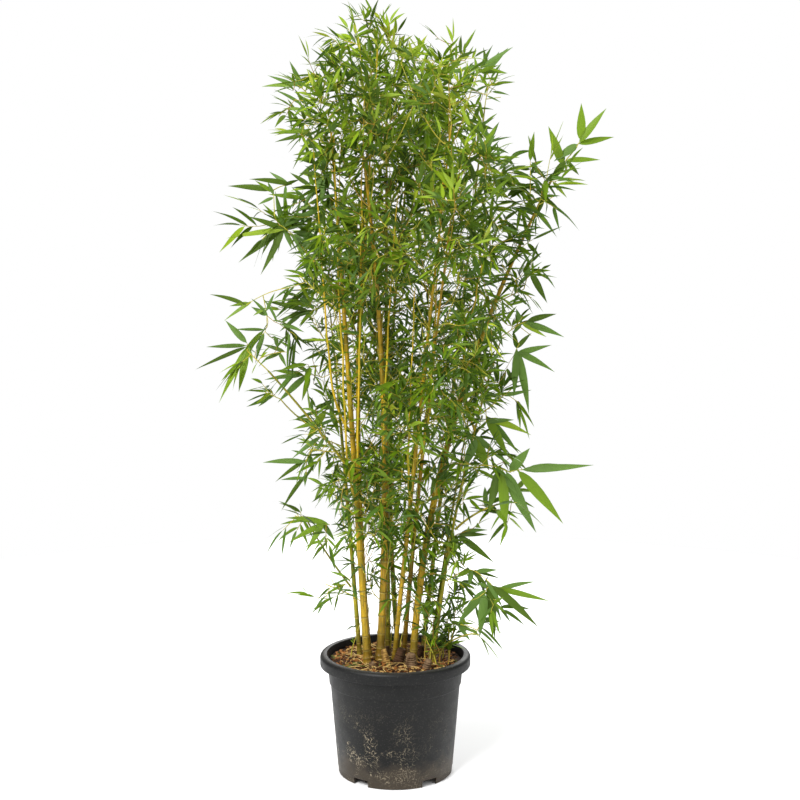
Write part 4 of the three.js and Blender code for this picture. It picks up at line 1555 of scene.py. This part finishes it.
@dataclass
class Foliage:
    """Every mass's twigs and leaves, by the part's rule, and all growth between the masses."""

    limbs: dict[str, Limb]
    stem_girth: float = 4.8
    stem_overrun: float = -0.1
    twigs: int = 4
    first_twig: float = 0.3
    twig_share: tuple[float, float] = (0.3, 0.46)
    twig_angle: tuple[float, float] = (55, 88)
    golden_angle: float = 137.5
    limb_clearance: float = 1.2
    leaf_overrun: float = 14
    hub_room: float = 38
    # x, y and height of each thin shoot from the soil, and how many steps apart its sprays are
    foot_shoots: tuple[tuple[float, float, float, int], ...] = (
        (-38, 34, 150, 3), (-12, 16, 120, 4), (-30, 52, 96, 3), (18, 8, 150, 4),
        (36, 24, 128, 3), (62, 30, 96, 3), (82, -36, 130, 1), (92, -22, 96, 1),
        (-84, 6, 70, 4), (50, -30, 84, 4), (10, -20, 64, 5), (58, -56, 56, 3),
        (28, 70, 110, 3), (-52, 40, 84, 3), (76, -48, 150, 1), (64, -14, 150, 2),
        (98, -40, 120, 1), (88, -4, 150, 1), (80, -22, 140, 1), (100, -20, 100, 1),
    )
    # how far the dense column's sprays spread to the left and right at each height
    edges: tuple[Point, ...] = (
        (430, -74, 150), (519, -98, 162), (580, -122, 160), (662, -142, 160), (760, -152, 166),
        (880, -164, 184), (967, -168, 188), (1050, -184, 184), (1130, -190, 168),
        (1200, -205, 156), (1235, -200, 152), (1262, -180, 144), (1295, -160, 132),
        (1330, -132, 52), (1352, -104, 16), (1372, -96, 0), (1412, -52, -10),
    )
    # a point that each thin leader passes before the crown, and its tip
    leaders: tuple[tuple[Point, Point], ...] = (
        ((-66, -72, 640), (-54, -104, 1232)), ((-88, -66, 620), (-108, -100, 1196)),
        ((62, -84, 690), (86, -104, 1150)), ((-20, -84, 700), (4, -112, 1060)),
        ((-116, -44, 740), (-142, -88, 1150)), ((118, -60, 760), (168, -96, 1020)),
        ((24, -88, 600), (34, -118, 900)), ((-58, -20, 900), (-30, -84, 1310)),
    )
    # middle and reach of each thicket of small sprays between the masses, and how many it has
    thickets: tuple[tuple[Point, float, int], ...] = (
        ((30, -40, 878), 46, 20), ((-99, -60, 1116), 50, 24), ((-165, -50, 1050), 40, 6),
        ((72, -60, 1256), 42, 12), ((206, -60, 1011), 46, 14), ((99, -60, 534), 46, 13),
        ((90, -50, 406), 44, 13), ((165, -60, 482), 40, 5), ((10, -60, 452), 50, 16),
        ((180, -60, 589), 38, 9), ((172, -60, 322), 30, 5), ((-216, -50, 812), 34, 6),
        ((-172, -50, 778), 34, 3), ((45, -60, 500), 44, 11), ((130, -30, 345), 40, 5),
        ((-104, -20, 1334), 34, 4), ((66, -60, 1222), 42, 12), ((149, -60, 1011), 38, 8),
        ((-130, -40, 672), 32, 6), ((80, -50, 442), 40, 11), ((-14, -40, 590), 42, 13),
        ((-41, -10, 1343), 32, 9), ((78, -60, 1178), 36, 11), ((-112, 10, 425), 28, 3),
        ((205, -40, 949), 42, 11), ((196, -40, 860), 42, 11), ((186, -50, 1090), 40, 11),
        ((236, -50, 1080), 30, 5), ((190, -50, 735), 32, 6), ((-122, -10, 531), 30, 6),
        ((-80, -10, 442), 28, 5), ((-168, -40, 1006), 34, 7), ((-168, -40, 878), 34, 6),
        ((-85, -70, 1048), 38, 9), ((110, -60, 600), 40, 8), ((146, 60, 1262), 34, 6),
        ((168, 186, 1296), 40, 9), ((20, 108, 1212), 48, 9), ((-44, 104, 1236), 42, 8),
        ((88, 112, 1204), 42, 8), ((28, 118, 1150), 42, 8), ((60, 96, 1262), 36, 6),
        ((92, -60, 1192), 34, 8), ((-60, -20, 388), 40, 7), ((84, -40, 424), 36, 7),
    )
    joint_shoots: int = 2
    joint_gap: tuple[float, float] = (42, 62)
    shoots_from: float = 110
    shoot_reach: tuple[float, float] = (60, 170)
    low_reach: tuple[float, float] = (28, 62)
    mid_reach: tuple[float, float] = (50, 110)
    # the height up to which growth is low, and a bound on leaves that no mass holds in
    low: float = 620
    loose: float = 900
    masses: list[Mass] = field(default_factory=list)
    leaves: dict[LeafTint, Leaves] = field(default_factory=dict)
    wood: dict[Wood, MeshPlan] = field(default_factory=dict)
    network: Network = field(default_factory=Network)
    hubs: Vec = field(
        default_factory=lambda: np.array([spray[0] for spray in OUTER_SPRAYS], dtype=float))
    sprays: Vec = field(
        default_factory=lambda: np.array([spray[0] for spray in OUTER_SPRAYS], dtype=float))

    def plan_masses(self) -> None:
        """Places every mass's stem and space as the part does, and lists what twigs must miss."""
        for index, (name, row) in enumerate(MASSES.items()):
            on, at, bearing, rise, reach, radius, leaf_length = row
            limb, direction = self.limbs[on], heading(bearing, rise)
            foot = limb.seat(at, direction, self.stem_girth / 2, 3)
            middle = foot + direction * reach
            tip = middle + direction * radius * self.stem_overrun
            self.masses.append(
                Mass(name, index, limb, at, middle, foot, tip, radius, leaf_length))
        self.middles = np.array([mass.middle for mass in self.masses])
        self.spaces = np.array([mass.radius**2 for mass in self.masses])
        parts = [
            (low, high, max(r, s))
            for limb in self.limbs.values()
            for low, high, r, s in zip(
                limb.points[:-1], limb.points[1:], limb.radii[:-1], limb.radii[1:])
        ]
        self.lows, self.highs, self.thick = (np.array(column) for column in zip(*parts))

    def in_space(self, point: Vec, mass: Mass, beyond: float = 0) -> bool:
        """Whether a point lies in a mass's own space.

        Args:
            point: The point.
            mass: The mass.
            beyond: How far outside the mass's ball it may be.

        Returns:
            True if it does.
        """
        power = np.sum((self.middles - point) ** 2, axis=1) - self.spaces
        outer = beyond * (2 * mass.radius + beyond)
        return bool(power[mass.index] < outer and power[mass.index] <= power.min())

    def within(self, point: Vec, beyond: float) -> bool:
        """Whether a point lies in any mass's ball, or at most so far outside it."""
        gaps = lengths(self.middles - point)
        return bool(np.any(gaps < np.sqrt(self.spaces) + beyond))

    def ragged(self, direction: Vec, mass: Mass) -> float:
        """How far short of its ball a mass's sprays stop in a direction, so that it isn't round.

        Args:
            direction: From the mass's middle.
            mass: The mass.

        Returns:
            Millimetres, negative inside the ball.
        """
        where = Vector(unit(direction)) * 1.9 + Vector((7.3 * mass.index, 1.7, 4.1))
        rough = 0.5 if mass.middle[2] > 1220 else 0.3
        return mass.radius * min(0.0, rough * noise.noise(where) - 0.04)

    def clear(self, start: Vec, end: Vec, margin: float) -> bool:
        """Whether a straight line stays farther than a margin from every limb's skin."""
        gaps = segment_gaps(start, end, self.lows, self.highs)
        return bool(np.all(gaps > self.thick + margin))

    def hub_gap(self, spot: Vec) -> float:
        """How far a spot is from the nearest hub of an outer spray."""
        return lengths(self.hubs - spot).min()

    def nearest_mass(self, point: Vec) -> Mass:
        """The mass whose middle is nearest to a point."""
        return self.masses[int(lengths(self.middles - point).argmin())]

    def grow_twigs(self, mass: Mass) -> list[Twig]:
        """Grows the stem's side twigs by the golden angle, as the part does.

        Args:
            mass: The mass.

        Returns:
            The stem and its side twigs.
        """
        dice = Dice(7001 + 97 * mass.index)
        ahead = unit(mass.tip - mass.foot)
        stem = Twig(mass.foot, mass.tip)
        twigs = [stem]
        turn = 360 * dice.next()
        for i in range(self.twigs):
            share = mix(self.first_twig, 1, i / self.twigs)
            point = mass.foot + (mass.tip - mass.foot) * share
            side = turned(unit(np.cross(ahead, UP)), ahead,
                          math.radians(turn + self.golden_angle * i))
            lean = math.radians(dice.between(*self.twig_angle))
            direction = ahead * math.cos(lean) + side * math.sin(lean)
            tip = point + direction * mass.radius * dice.between(*self.twig_share)
            if self.in_space(tip, mass) and self.clear(point, tip, 2):
                twigs.append(Twig(point, tip))
        return twigs

    def spot(self, mass: Mass, dice: Dice) -> Vec | None:
        """Throws a spot for a spray into a mass's ball.

        Args:
            mass: The mass.
            dice: The generator.

        Returns:
            The spot, or None where it fell outside the mass's own ragged space.
        """
        up = dice.swing(1)
        direction = heading(360 * dice.next(), math.degrees(math.asin(up)))
        spot = mass.middle + direction * mass.radius * dice.next() ** (1 / 3)
        short = self.ragged(direction, mass) - mass.growth.value.inset
        if mass.growth in (Growth.OPEN, Growth.LARGE):
            room = self.hub_room * (1.6 if mass.growth is Growth.LARGE else 1)
            if self.hub_gap(spot) < room:
                return None
        elif not self.in_column(spot):
            return None
        return spot if self.in_space(spot, mass, short) else None

    def in_column(self, point: Vec) -> bool:
        """Whether a point lies between the dense column's edges, which part towards the back.

        Args:
            point: The point.

        Returns:
            True if it does.
        """
        heights, lefts, rights = zip(*self.edges)
        left, right = (float(np.interp(point[2], heights, edge)) for edge in (lefts, rights))
        spread = 1 + max(0.0, float(point[1])) / 1400
        return left * spread < point[0] < right * spread

    def roomiest(self, spots: Iterable[Vec | None]) -> Vec | None:
        """Picks the spot that is farthest from the sprays that are there.

        Args:
            spots: Spots on offer.

        Returns:
            The spot, or None where none was valid.
        """
        valid = [spot for spot in spots if spot is not None]
        if not valid:
            return None
        rooms = [lengths(self.sprays - spot).min() for spot in valid]
        return valid[int(np.argmax(rooms))]

    def attach(self, habit: Habit, spot: Vec, dice: Dice) -> Twiglet | None:
        """Leads a fine twig to a spot from the twig that is nearest and runs its way.

        Args:
            habit: The habit of growth.
            spot: The spot.
            dice: The generator.

        Returns:
            Its foot, bend and tip, or None where no twig is near or a limb is in the way.
        """
        away, gap, ahead = self.network.offers(spot)
        cost = gap * (1.6 - 0.6 * ahead)
        cost[(gap < habit.twiglet[0]) | (gap > habit.twiglet[1])] = np.inf
        outward = unit((spot - self.middles.mean(axis=0)) * (1, 1, 0))
        for index in np.argsort(cost)[:5]:
            if not np.isfinite(cost[index]):
                return None
            stray = heading(360 * dice.next(), dice.swing(70))
            way = unit(away[index] / gap[index] + outward * habit.outward
                       + stray * habit.stray + UP * habit.lift)
            bend = spot - way * gap[index] * 0.4
            if self.clear(bend, spot, self.limb_clearance):
                return self.network.points[index], bend, spot
        return None

    def deal_tint(self, mass: Mass, height: float, dice: Dice) -> LeafTint:
        """Deals a spray its tint: brighter high up and darker inside and lower down, partly paler
        young growth and partly painted light and shade; bluish on the outer sprays.

        Args:
            mass: The spray's mass.
            height: Its height in millimetres.
            dice: The generator.

        Returns:
            The tint.
        """
        # Brighter tints high up and darker ones low in the dense masses: painted light and painted
        # shade, along with paler young growth at the top.
        high = float(np.clip((height - 700) / 600, 0, 1)) ** 1.4
        if mass.growth in (Growth.OPEN, Growth.LARGE):
            chances = (0.26, 0.38, mix(0.06, 0.2, high), 0.0, 0.3)
        else:
            chances = (mix(0.46, 0.12, high), 0.34, mix(0.1, 0.36, high),
                       mix(0.01, 0.06, high), mix(0.22, 0.1, high))
        throw = dice.next() * sum(chances)
        for tint, chance in zip(LeafTint, chances):
            throw -= chance
            if throw < 0:
                return tint
        return LeafTint.MID

    def grow_fan(
        self, mass: Mass, twiglet: Twiglet, dice: Dice, beyond: float,
        scale: float = 1,
    ) -> int:
        """Grows a fan of leaves at the end of a fine twig, in two ranks.

        Args:
            mass: The mass.
            twiglet: The fine twig's foot, bend and tip.
            dice: The generator.
            beyond: How far outside the masses' balls a leaf may end.
            scale: Its leaves' size beside the usual.

        Returns:
            The number of leaves that it has.
        """
        habit = mass.growth.value
        foot, bend, tip = twiglet
        ahead = unit(tip - bend)
        level = np.cross(ahead, UP)
        level = unit(level) if float(level @ level) > 0.01 else np.array((1.0, 0, 0))
        side = turned(level, ahead, math.radians(dice.swing(60)))
        tint = self.deal_tint(mass, float(tip[2]), dice)
        count = habit.leaves[0] + dice.index(habit.leaves[1] - habit.leaves[0] + 1)
        size = scale * mass.leaf_length * dice.between(*habit.leaf_share)
        hand = 1 if dice.next() < 0.5 else -1
        step = habit.spacing / float(np.linalg.norm(tip - foot))
        grown = 0
        for k in range(count):
            root = arc(foot, bend, tip, [max(0.05, 1 - step * k)])[0]
            angle = dice.swing(10) if k == 0 else 26 + 7 * k + dice.swing(12)
            hand = -hand
            lean = math.radians(angle) * hand
            along = ahead * math.cos(lean) + side * math.sin(lean)
            along = unit(along - UP * dice.between(*habit.sink))
            across = side - along * float(side @ along)
            if float(across @ across) < 0.05:
                across = np.cross(along, UP)
            across = turned(unit(across), along, math.radians(dice.swing(40)))
            if float(np.cross(across, along)[2]) < 0:
                across = -across
            length = size * mix(1, 0.82, k / 6) * dice.between(0.82, 1.12)
            width = length * dice.between(*habit.width_share)
            droop, bow = dice.between(*habit.droop), dice.swing(0.14)
            fold, twist, wave = dice.between(0.15, 0.45), dice.swing(0.9), dice.swing(0.05)
            shade = tint if dice.next() < 0.72 else self.deal_tint(mass, float(tip[2]), dice)
            for shrink in (1, 0.82, 0.66):
                end = root + along * length * shrink - UP * length * shrink * droop
                if self.within(end, beyond) and self.clear(
                        root + along * 3, end, self.limb_clearance):
                    self.leaves[shade].add(
                        root, along, across, length * shrink, width * mix(1, shrink, 0.5),
                        droop, bow, fold, twist, wave)
                    grown += 1
                    break
        return grown

    def draw_twig(self, kind: Wood, path: Vec, girths: tuple[float, float], sides: int) -> None:
        """Draws a twig.

        Args:
            kind: The wood that it is joined into.
            path: Its points.
            girths: Radius at its foot and at its tip.
            sides: Corners round it.
        """
        radii = np.linspace(girths[0], girths[1], len(path))
        points, faces = tube(path, radii.tolist(), sides)
        self.wood[kind].add(points, faces)

    def grow_frame(self, mass: Mass) -> None:
        """Grows a mass's stem and side twigs.

        Args:
            mass: The mass.
        """
        join = mass.limb.way(1.0) if mass.at == 1 else mass.limb.at(mass.at)[0]
        foot_radius = min(1.6, 0.8 * mass.limb.at(mass.at)[2])
        self.draw_twig(Wood.GREEN, np.array((join, mass.foot, mass.tip)), (foot_radius, 0.95), 6)
        twigs = self.grow_twigs(mass)
        dice = Dice(40009 + 61 * mass.index)
        open_habit = mass.growth in (Growth.OPEN, Growth.LARGE)
        if mass.growth is Growth.LARGE:
            twigs = twigs[:1] + [
                twig for twig in twigs[1:] if twig.tip[2] > mass.middle[2] - 12
                and self.hub_gap(twig.tip) > 44]
        for twig in twigs[1:]:
            self.draw_twig(Wood.GREEN, np.array((twig.foot, twig.tip)), (0.85, 0.62), 5)
            if open_habit and self.hub_gap(twig.tip) > 30:
                spray = (twig.foot, (twig.foot + twig.tip) / 2, twig.tip)
                self.grow_fan(mass, spray, dice, self.leaf_overrun, 0.8)
                self.sprays = np.vstack((self.sprays, twig.tip))
        for twig in twigs:
            steps = max(2, int(np.linalg.norm(twig.tip - twig.foot) / 9))
            self.network.add(twig.foot + np.outer(np.linspace(0, 1, steps + 1),
                                                  twig.tip - twig.foot))

    def fill_mass(self, mass: Mass) -> None:
        """Fills a mass's space evenly with sprays, each on a fine twig from the nearest twig.

        Args:
            mass: The mass.
        """
        habit = mass.growth.value
        dice = Dice(50021 + 131 * mass.index)
        probe = [self.spot(mass, dice) is not None for _ in range(400)]
        litres = 4 / 3 * math.pi * (mass.radius / 100) ** 3 * sum(probe) / len(probe)
        wanted = round(litres * habit.sprays * FULLNESS.get(mass.name, 1))
        grown = missed = 0
        while grown < wanted and missed < 2 * wanted:
            spot = self.roomiest(self.spot(mass, dice) for _ in range(habit.offers))
            twiglet = None if spot is None else self.attach(habit, spot, dice)
            if twiglet is None or self.grow_fan(mass, twiglet, dice, self.leaf_overrun) < 2:
                missed += 1
                continue
            grown += 1
            self.add_twiglet(twiglet, deal_wood(dice, 0.4))
        LOG.info("%s: %d sprays", mass.name, grown)

    def fill_thicket(self, middle: Vec, reach: float, count: int, dice: Dice) -> None:
        """Fills a small room between the masses with sprays.

        Args:
            middle: The room's middle.
            reach: How far its sprays are from the middle at most.
            count: How many sprays it has.
            dice: The generator.
        """
        mass, habit = self.nearest_mass(middle), Growth.MIDDLE.value
        scale = 1.0 if middle[2] > self.low else 0.8
        for _ in range(4 * count):
            spots = [
                middle + heading(360 * dice.next(), math.degrees(math.asin(dice.swing(1))))
                * reach * dice.next() ** (1 / 3) for _ in range(4)
            ]
            twiglet = self.attach(habit, self.roomiest(spots), dice)
            if twiglet is None or self.grow_fan(mass, twiglet, dice, self.loose, scale) < 2:
                continue
            self.add_twiglet(twiglet, deal_wood(dice, 0.4))
            count -= 1
            if count == 0:
                return

    def add_twiglet(self, twiglet: Twiglet, kind: Wood) -> None:
        """Draws a spray's fine twig and lets later ones join it.

        Args:
            twiglet: Its foot, bend and tip.
            kind: The wood that it is joined into.
        """
        path = arc(*twiglet, (0, 0.35, 0.7, 1))
        self.draw_twig(kind, path, (0.68, 0.4), 4)
        self.network.add(path)
        self.sprays = np.vstack((self.sprays, twiglet[2]))

    def grow_joint_shoots(self, limb: Limb, dice: Dice) -> None:
        """Grows the side shoots that leave a cane's joints on their way up to the crown.

        Args:
            limb: The cane.
            dice: The generator.
        """
        length = float(limb.points[-1][2] - limb.points[0][2])
        turn, share = 360 * dice.next(), self.shoots_from / length
        while share < 0.97:
            height = limb.way(share)[2]
            for _ in range(self.joint_shoots + (height > self.low) - (height < 400)):
                turn += self.golden_angle
                foot = limb.way(share)
                reach = dice.between(*self.shoot_reach)
                way = heading(turn, dice.between(38, 72))
                bend = foot + heading(turn, 25) * reach * 0.25
                if not self.within(foot + way * reach, -10):
                    short = self.low_reach if foot[2] < self.low else self.mid_reach
                    reach = dice.between(*short)
                tip = foot + way * reach
                start = foot + unit(way * (1, 1, 0)) * (limb.girth(share) + 2.4)
                if not (self.clear(start, tip, self.limb_clearance) and self.in_column(tip)):
                    continue
                path = arc(foot, bend, tip, np.linspace(0, 1, max(4, int(reach / 9) + 1)))
                kind = deal_wood(dice, 0.3)
                self.draw_twig(kind, path, (0.95, 0.5), 5)
                self.network.add(path)
                if not self.within(tip, -10):
                    self.dress_shoot(path, kind, dice)
            share += dice.between(*self.joint_gap) / length

    def dress_shoot(self, path: Vec, kind: Wood, dice: Dice) -> None:
        """Sets sprays along a shoot that is in no mass's space.

        Args:
            path: The shoot's points.
            kind: Its wood.
            dice: The generator.
        """
        mass = self.nearest_mass(path[-1])
        twiglet = (path[-3], path[-2], path[-1])
        scale = 0.72 if path[-1][2] < 520 else 1.0
        self.grow_fan(mass, twiglet, dice, self.loose, scale)
        self.sprays = np.vstack((self.sprays, path[-1]))
        for foot in path[1:-1:2 if len(path) < 8 else 3]:
            way = heading(360 * dice.next(), dice.between(-10, 60))
            reach = dice.between(12, 34)
            tip = foot + way * reach
            bend = foot + (way + UP * 0.3) * reach * 0.5
            if self.clear(bend, tip, self.limb_clearance):
                self.grow_fan(mass, (foot, bend, tip), dice, self.loose, scale)
                self.add_twiglet((foot, bend, tip), kind)

    def grow_leaders(self) -> None:
        """Grows the thin golden leaders before the crown, each from the nearest cane."""
        dice = Dice(8219)
        for passed, end in self.leaders:
            low, tip = np.array(passed, dtype=float), np.array(end, dtype=float)
            below = low - UP * 110
            foot = min((self.limbs[name].way(share) for name in CANES
                        for share in np.linspace(0.1, 0.9, 81)),
                       key=lambda point: float(np.linalg.norm(point - below)))
            start = arc(foot, (foot + low) / 2 + (low - foot) * (0.25, 0.25, -0.2), low,
                        (0, 0.3, 0.6, 0.85))
            rise = [low + (tip - low) * share for share in np.linspace(0, 1, 12)]
            rise = [point + np.array((dice.swing(1.6), dice.swing(1.6), 0)) for point in rise]
            route = np.vstack((start, rise))
            shares = np.linspace(0, len(route) - 1, 5 * len(route))
            path = np.array([[np.interp(share, range(len(route)), axis) for axis in route.T]
                             for share in shares])
            radii = [mix(2.3, 0.8, k / len(path)) * (1.16 if k % 5 == 0 else 1)
                     for k in range(len(path))]
            self.wood[Wood.LEADER].add(*tube(path, radii, 7))
            self.network.add(route)
            self.lows = np.vstack((self.lows, route[3:-1]))
            self.highs = np.vstack((self.highs, route[4:]))
            self.thick = np.append(self.thick, np.linspace(2.3, 0.8, len(route) - 4))

    def grow_foot_shoots(self) -> None:
        """Grows the thin crooked shoots that rise between the canes' feet, with tiny leaves."""
        dice = Dice(6151)
        for x, y, height, step in self.foot_shoots:
            point = np.array((x, y, SOIL_TOP - 5.0))
            way = heading(360 * dice.next(), dice.between(76, 88))
            path = [point]
            while point[2] < SOIL_TOP + height:
                way = unit(way + heading(360 * dice.next(), 0) * 0.2 + UP * 0.1)
                point = point + way * dice.between(8, 12)
                path.append(point)
            kind = deal_wood(dice, 0.5)
            if not all(self.clear(a, b, 0.4) for a, b in zip(path, path[1:])):
                continue
            self.draw_twig(kind, np.array(path), (1.15, 0.45), 5)
            for foot in path[3::step]:
                way = heading(360 * dice.next(), dice.between(5, 70))
                tip = foot + way * dice.between(3, 14)
                mass = self.masses[dice.index(4)]
                self.grow_fan(mass, (foot, (foot + tip) / 2, tip), dice, self.loose,
                              dice.between(0.5, 0.9) if step < 3 else dice.between(0.3, 0.5))

    def grow_outer_spray(self, spray: Spray, dice: Dice) -> None:
        """Grows one of the outer sprays, whose leaves hang to either hand of its hub.

        Args:
            spray: Its hub and leaves.
            dice: The generator.
        """
        hub, leaves = np.array(spray[0], dtype=float), spray[1]
        _, gap, ahead = self.network.offers(hub)
        cost = np.where(gap < 14, np.inf, gap * (1.5 - 0.5 * ahead))
        for index in np.argsort(cost)[:40]:
            foot = self.network.points[index]
            bend = (foot + hub) / 2 + UP * gap[index] * 0.14
            if self.clear(foot, bend, 0.2) and self.clear(bend, hub, self.limb_clearance):
                break
        else:
            return
        path = arc(foot, bend, hub, np.linspace(0, 1, 9))
        self.draw_twig(Wood.GREEN, path, (1.0, 0.55), 5)
        self.network.add(path)
        for k, (slope, length, width) in enumerate(leaves):
            tints = (LeafTint.DARK, LeafTint.MID, LeafTint.BLUISH, LeafTint.BLUISH)
            tint = LeafTint.BRIGHT if dice.next() < 0.03 else tints[dice.index(4)]
            root = arc(foot, bend, hub, [1 - min(0.5, k * 6 / gap[index])])[0]
            angle = math.radians(slope + dice.swing(3))
            for depth in (dice.swing(0.28), -0.35, 0.35, -0.6, 0.6):
                along = unit(np.array((math.cos(angle), depth, math.sin(angle))))
                across = unit(np.cross(along, (0, 1, 0)))
                across = turned(across, along, math.radians(dice.swing(30)))
                droop = dice.between(0.04, 0.16) * abs(math.cos(angle))
                along = unit(along + UP * droop * 0.8)
                end = root + along * length - UP * length * droop
                if self.clear(root + along * 5, end, self.limb_clearance):
                    self.leaves[tint].add(root, along, across, length, width, droop,
                                          dice.swing(0.06), dice.between(0.12, 0.35),
                                          dice.swing(0.5), dice.swing(0.04))
                    break

    def build(self) -> None:
        """Grows every mass and makes the joined pieces."""
        self.plan_masses()
        self.leaves = {tint: Leaves() for tint in LeafTint}
        self.wood = {kind: MeshPlan(f"twigs_{kind.name.lower()}") for kind in Wood}
        self.grow_leaders()
        for mass in self.masses:
            self.grow_frame(mass)
        for index, name in enumerate(CANES):
            self.grow_joint_shoots(self.limbs[name], Dice(90007 + 389 * index))
        self.grow_foot_shoots()
        for index, spray in enumerate(OUTER_SPRAYS):
            self.grow_outer_spray(spray, Dice(70001 + 211 * index))
        for mass in self.masses:
            self.fill_mass(mass)
        for index, (middle, reach, count) in enumerate(self.thickets):
            self.fill_thicket(np.array(middle, dtype=float), reach, count,
                              Dice(61001 + 173 * index))
        names = [mass.name for mass in self.masses]
        for tint, leaves in self.leaves.items():
            plan = leaves.plan(f"leaves_{tint.name.lower()}")
            piece = plan.make([tint.value.build()])
            settle(piece, names)
            LOG.info("%s: %d leaves", piece.name, len(leaves.roots))
        for kind, plan in self.wood.items():
            settle(plan.make([kind.value.build()], 50), names)


# --- Studio ---


@dataclass
class Studio:
    """A pale floor, soft white light and the camera."""

    eye: Point = (0.0088, -2.3, 0.885)
    pitch: float = 4.73
    focal_pixels: float = 1258
    image_pixels: float = 800
    sensor: float = 36
    floor_radius: float = 2.3
    sky: float = 0.37

    def build(self) -> None:
        """Builds the floor, the lights and the camera."""
        self.place_camera()
        self.lay_floor()
        self.light_sky()
        self.hang_light("key", (-1.7, -2.4, 2.9), 1.8, 222)
        self.hang_light("fill", (2.4, -2.0, 1.6), 2.4, 40)
        self.hang_light("rear", (0.6, 2.6, 2.6), 2.2, 120)

    def place_camera(self) -> None:
        """Places the camera level with the crown, tipped a little down."""
        lens = bpy.data.cameras.new("camera")
        lens.sensor_width = self.sensor
        lens.lens = self.focal_pixels / self.image_pixels * self.sensor
        lens.clip_end = 200
        camera = bpy.data.objects.new("camera", lens)
        camera.location = self.eye
        camera.rotation_euler = (math.radians(90 - self.pitch), 0, 0)
        bpy.context.collection.objects.link(camera)
        bpy.context.scene.camera = camera

    def lay_floor(self) -> None:
        """Lays a round pale floor."""
        plan = MeshPlan("floor")
        plan.add(circle(self.floor_radius / MM, 0, 64), [tuple(range(64))])
        material, sheet = new_material("floor")
        inputs = {"Base Color": (0.93, 0.93, 0.93, 1), "Roughness": 0.9}
        skin = sheet.add("ShaderNodeBsdfPrincipled", inputs)
        sheet.add("ShaderNodeOutputMaterial", {0: skin.outputs[0]})
        plan.make([material])

    def light_sky(self) -> None:
        """Surrounds the scene with white, dimmer as a light than to the eye."""
        world = bpy.data.worlds.new("sky")
        world.use_nodes = True
        world.node_tree.nodes.clear()
        sheet = Sheet(world.node_tree)
        seen = sheet.add("ShaderNodeLightPath").outputs["Is Camera Ray"]
        lit = sheet.add("ShaderNodeBackground", {0: (1, 1, 1, 1), 1: self.sky})
        shown = sheet.add("ShaderNodeBackground", {0: (1, 1, 1, 1), 1: 1.0})
        both = sheet.add("ShaderNodeMixShader", {0: seen, 1: lit.outputs[0], 2: shown.outputs[0]})
        sheet.add("ShaderNodeOutputWorld", {0: both.outputs[0]})
        bpy.context.scene.world = world
        bpy.context.scene.view_settings.view_transform = "Standard"

    def hang_light(
        self, name: str, place: Point, size: float, power: float
    ) -> None:
        """Hangs a soft square light that faces the clump.

        Args:
            name: The light's name.
            place: Where it hangs, in metres.
            size: Its side, in metres.
            power: Its power in watts.
        """
        light = bpy.data.lights.new(name, "AREA")
        light.shape, light.size, light.energy = "SQUARE", size, power
        lamp = bpy.data.objects.new(name, light)
        lamp.location = place
        aim = Vector((0, 0, 0.75)) - Vector(place)
        lamp.rotation_euler = aim.to_track_quat("-Z", "Y").to_euler()
        bpy.context.collection.objects.link(lamp)


def main() -> None:
    """Builds the studio, the pot, the canes and the foliage in order."""
    logging.basicConfig(level=logging.INFO, format="%(message)s", stream=sys.stdout)
    Studio().build()
    NurseryPot().build()
    PottingMix().build()
    limbs = {name: grow_cane(name) for name in CANES}
    for name in BOUGHS:
        limbs[name] = grow_bough(name, limbs)
    Culms(limbs).build()
    Foliage(limbs).build()


if __name__ == "__main__":
    main()
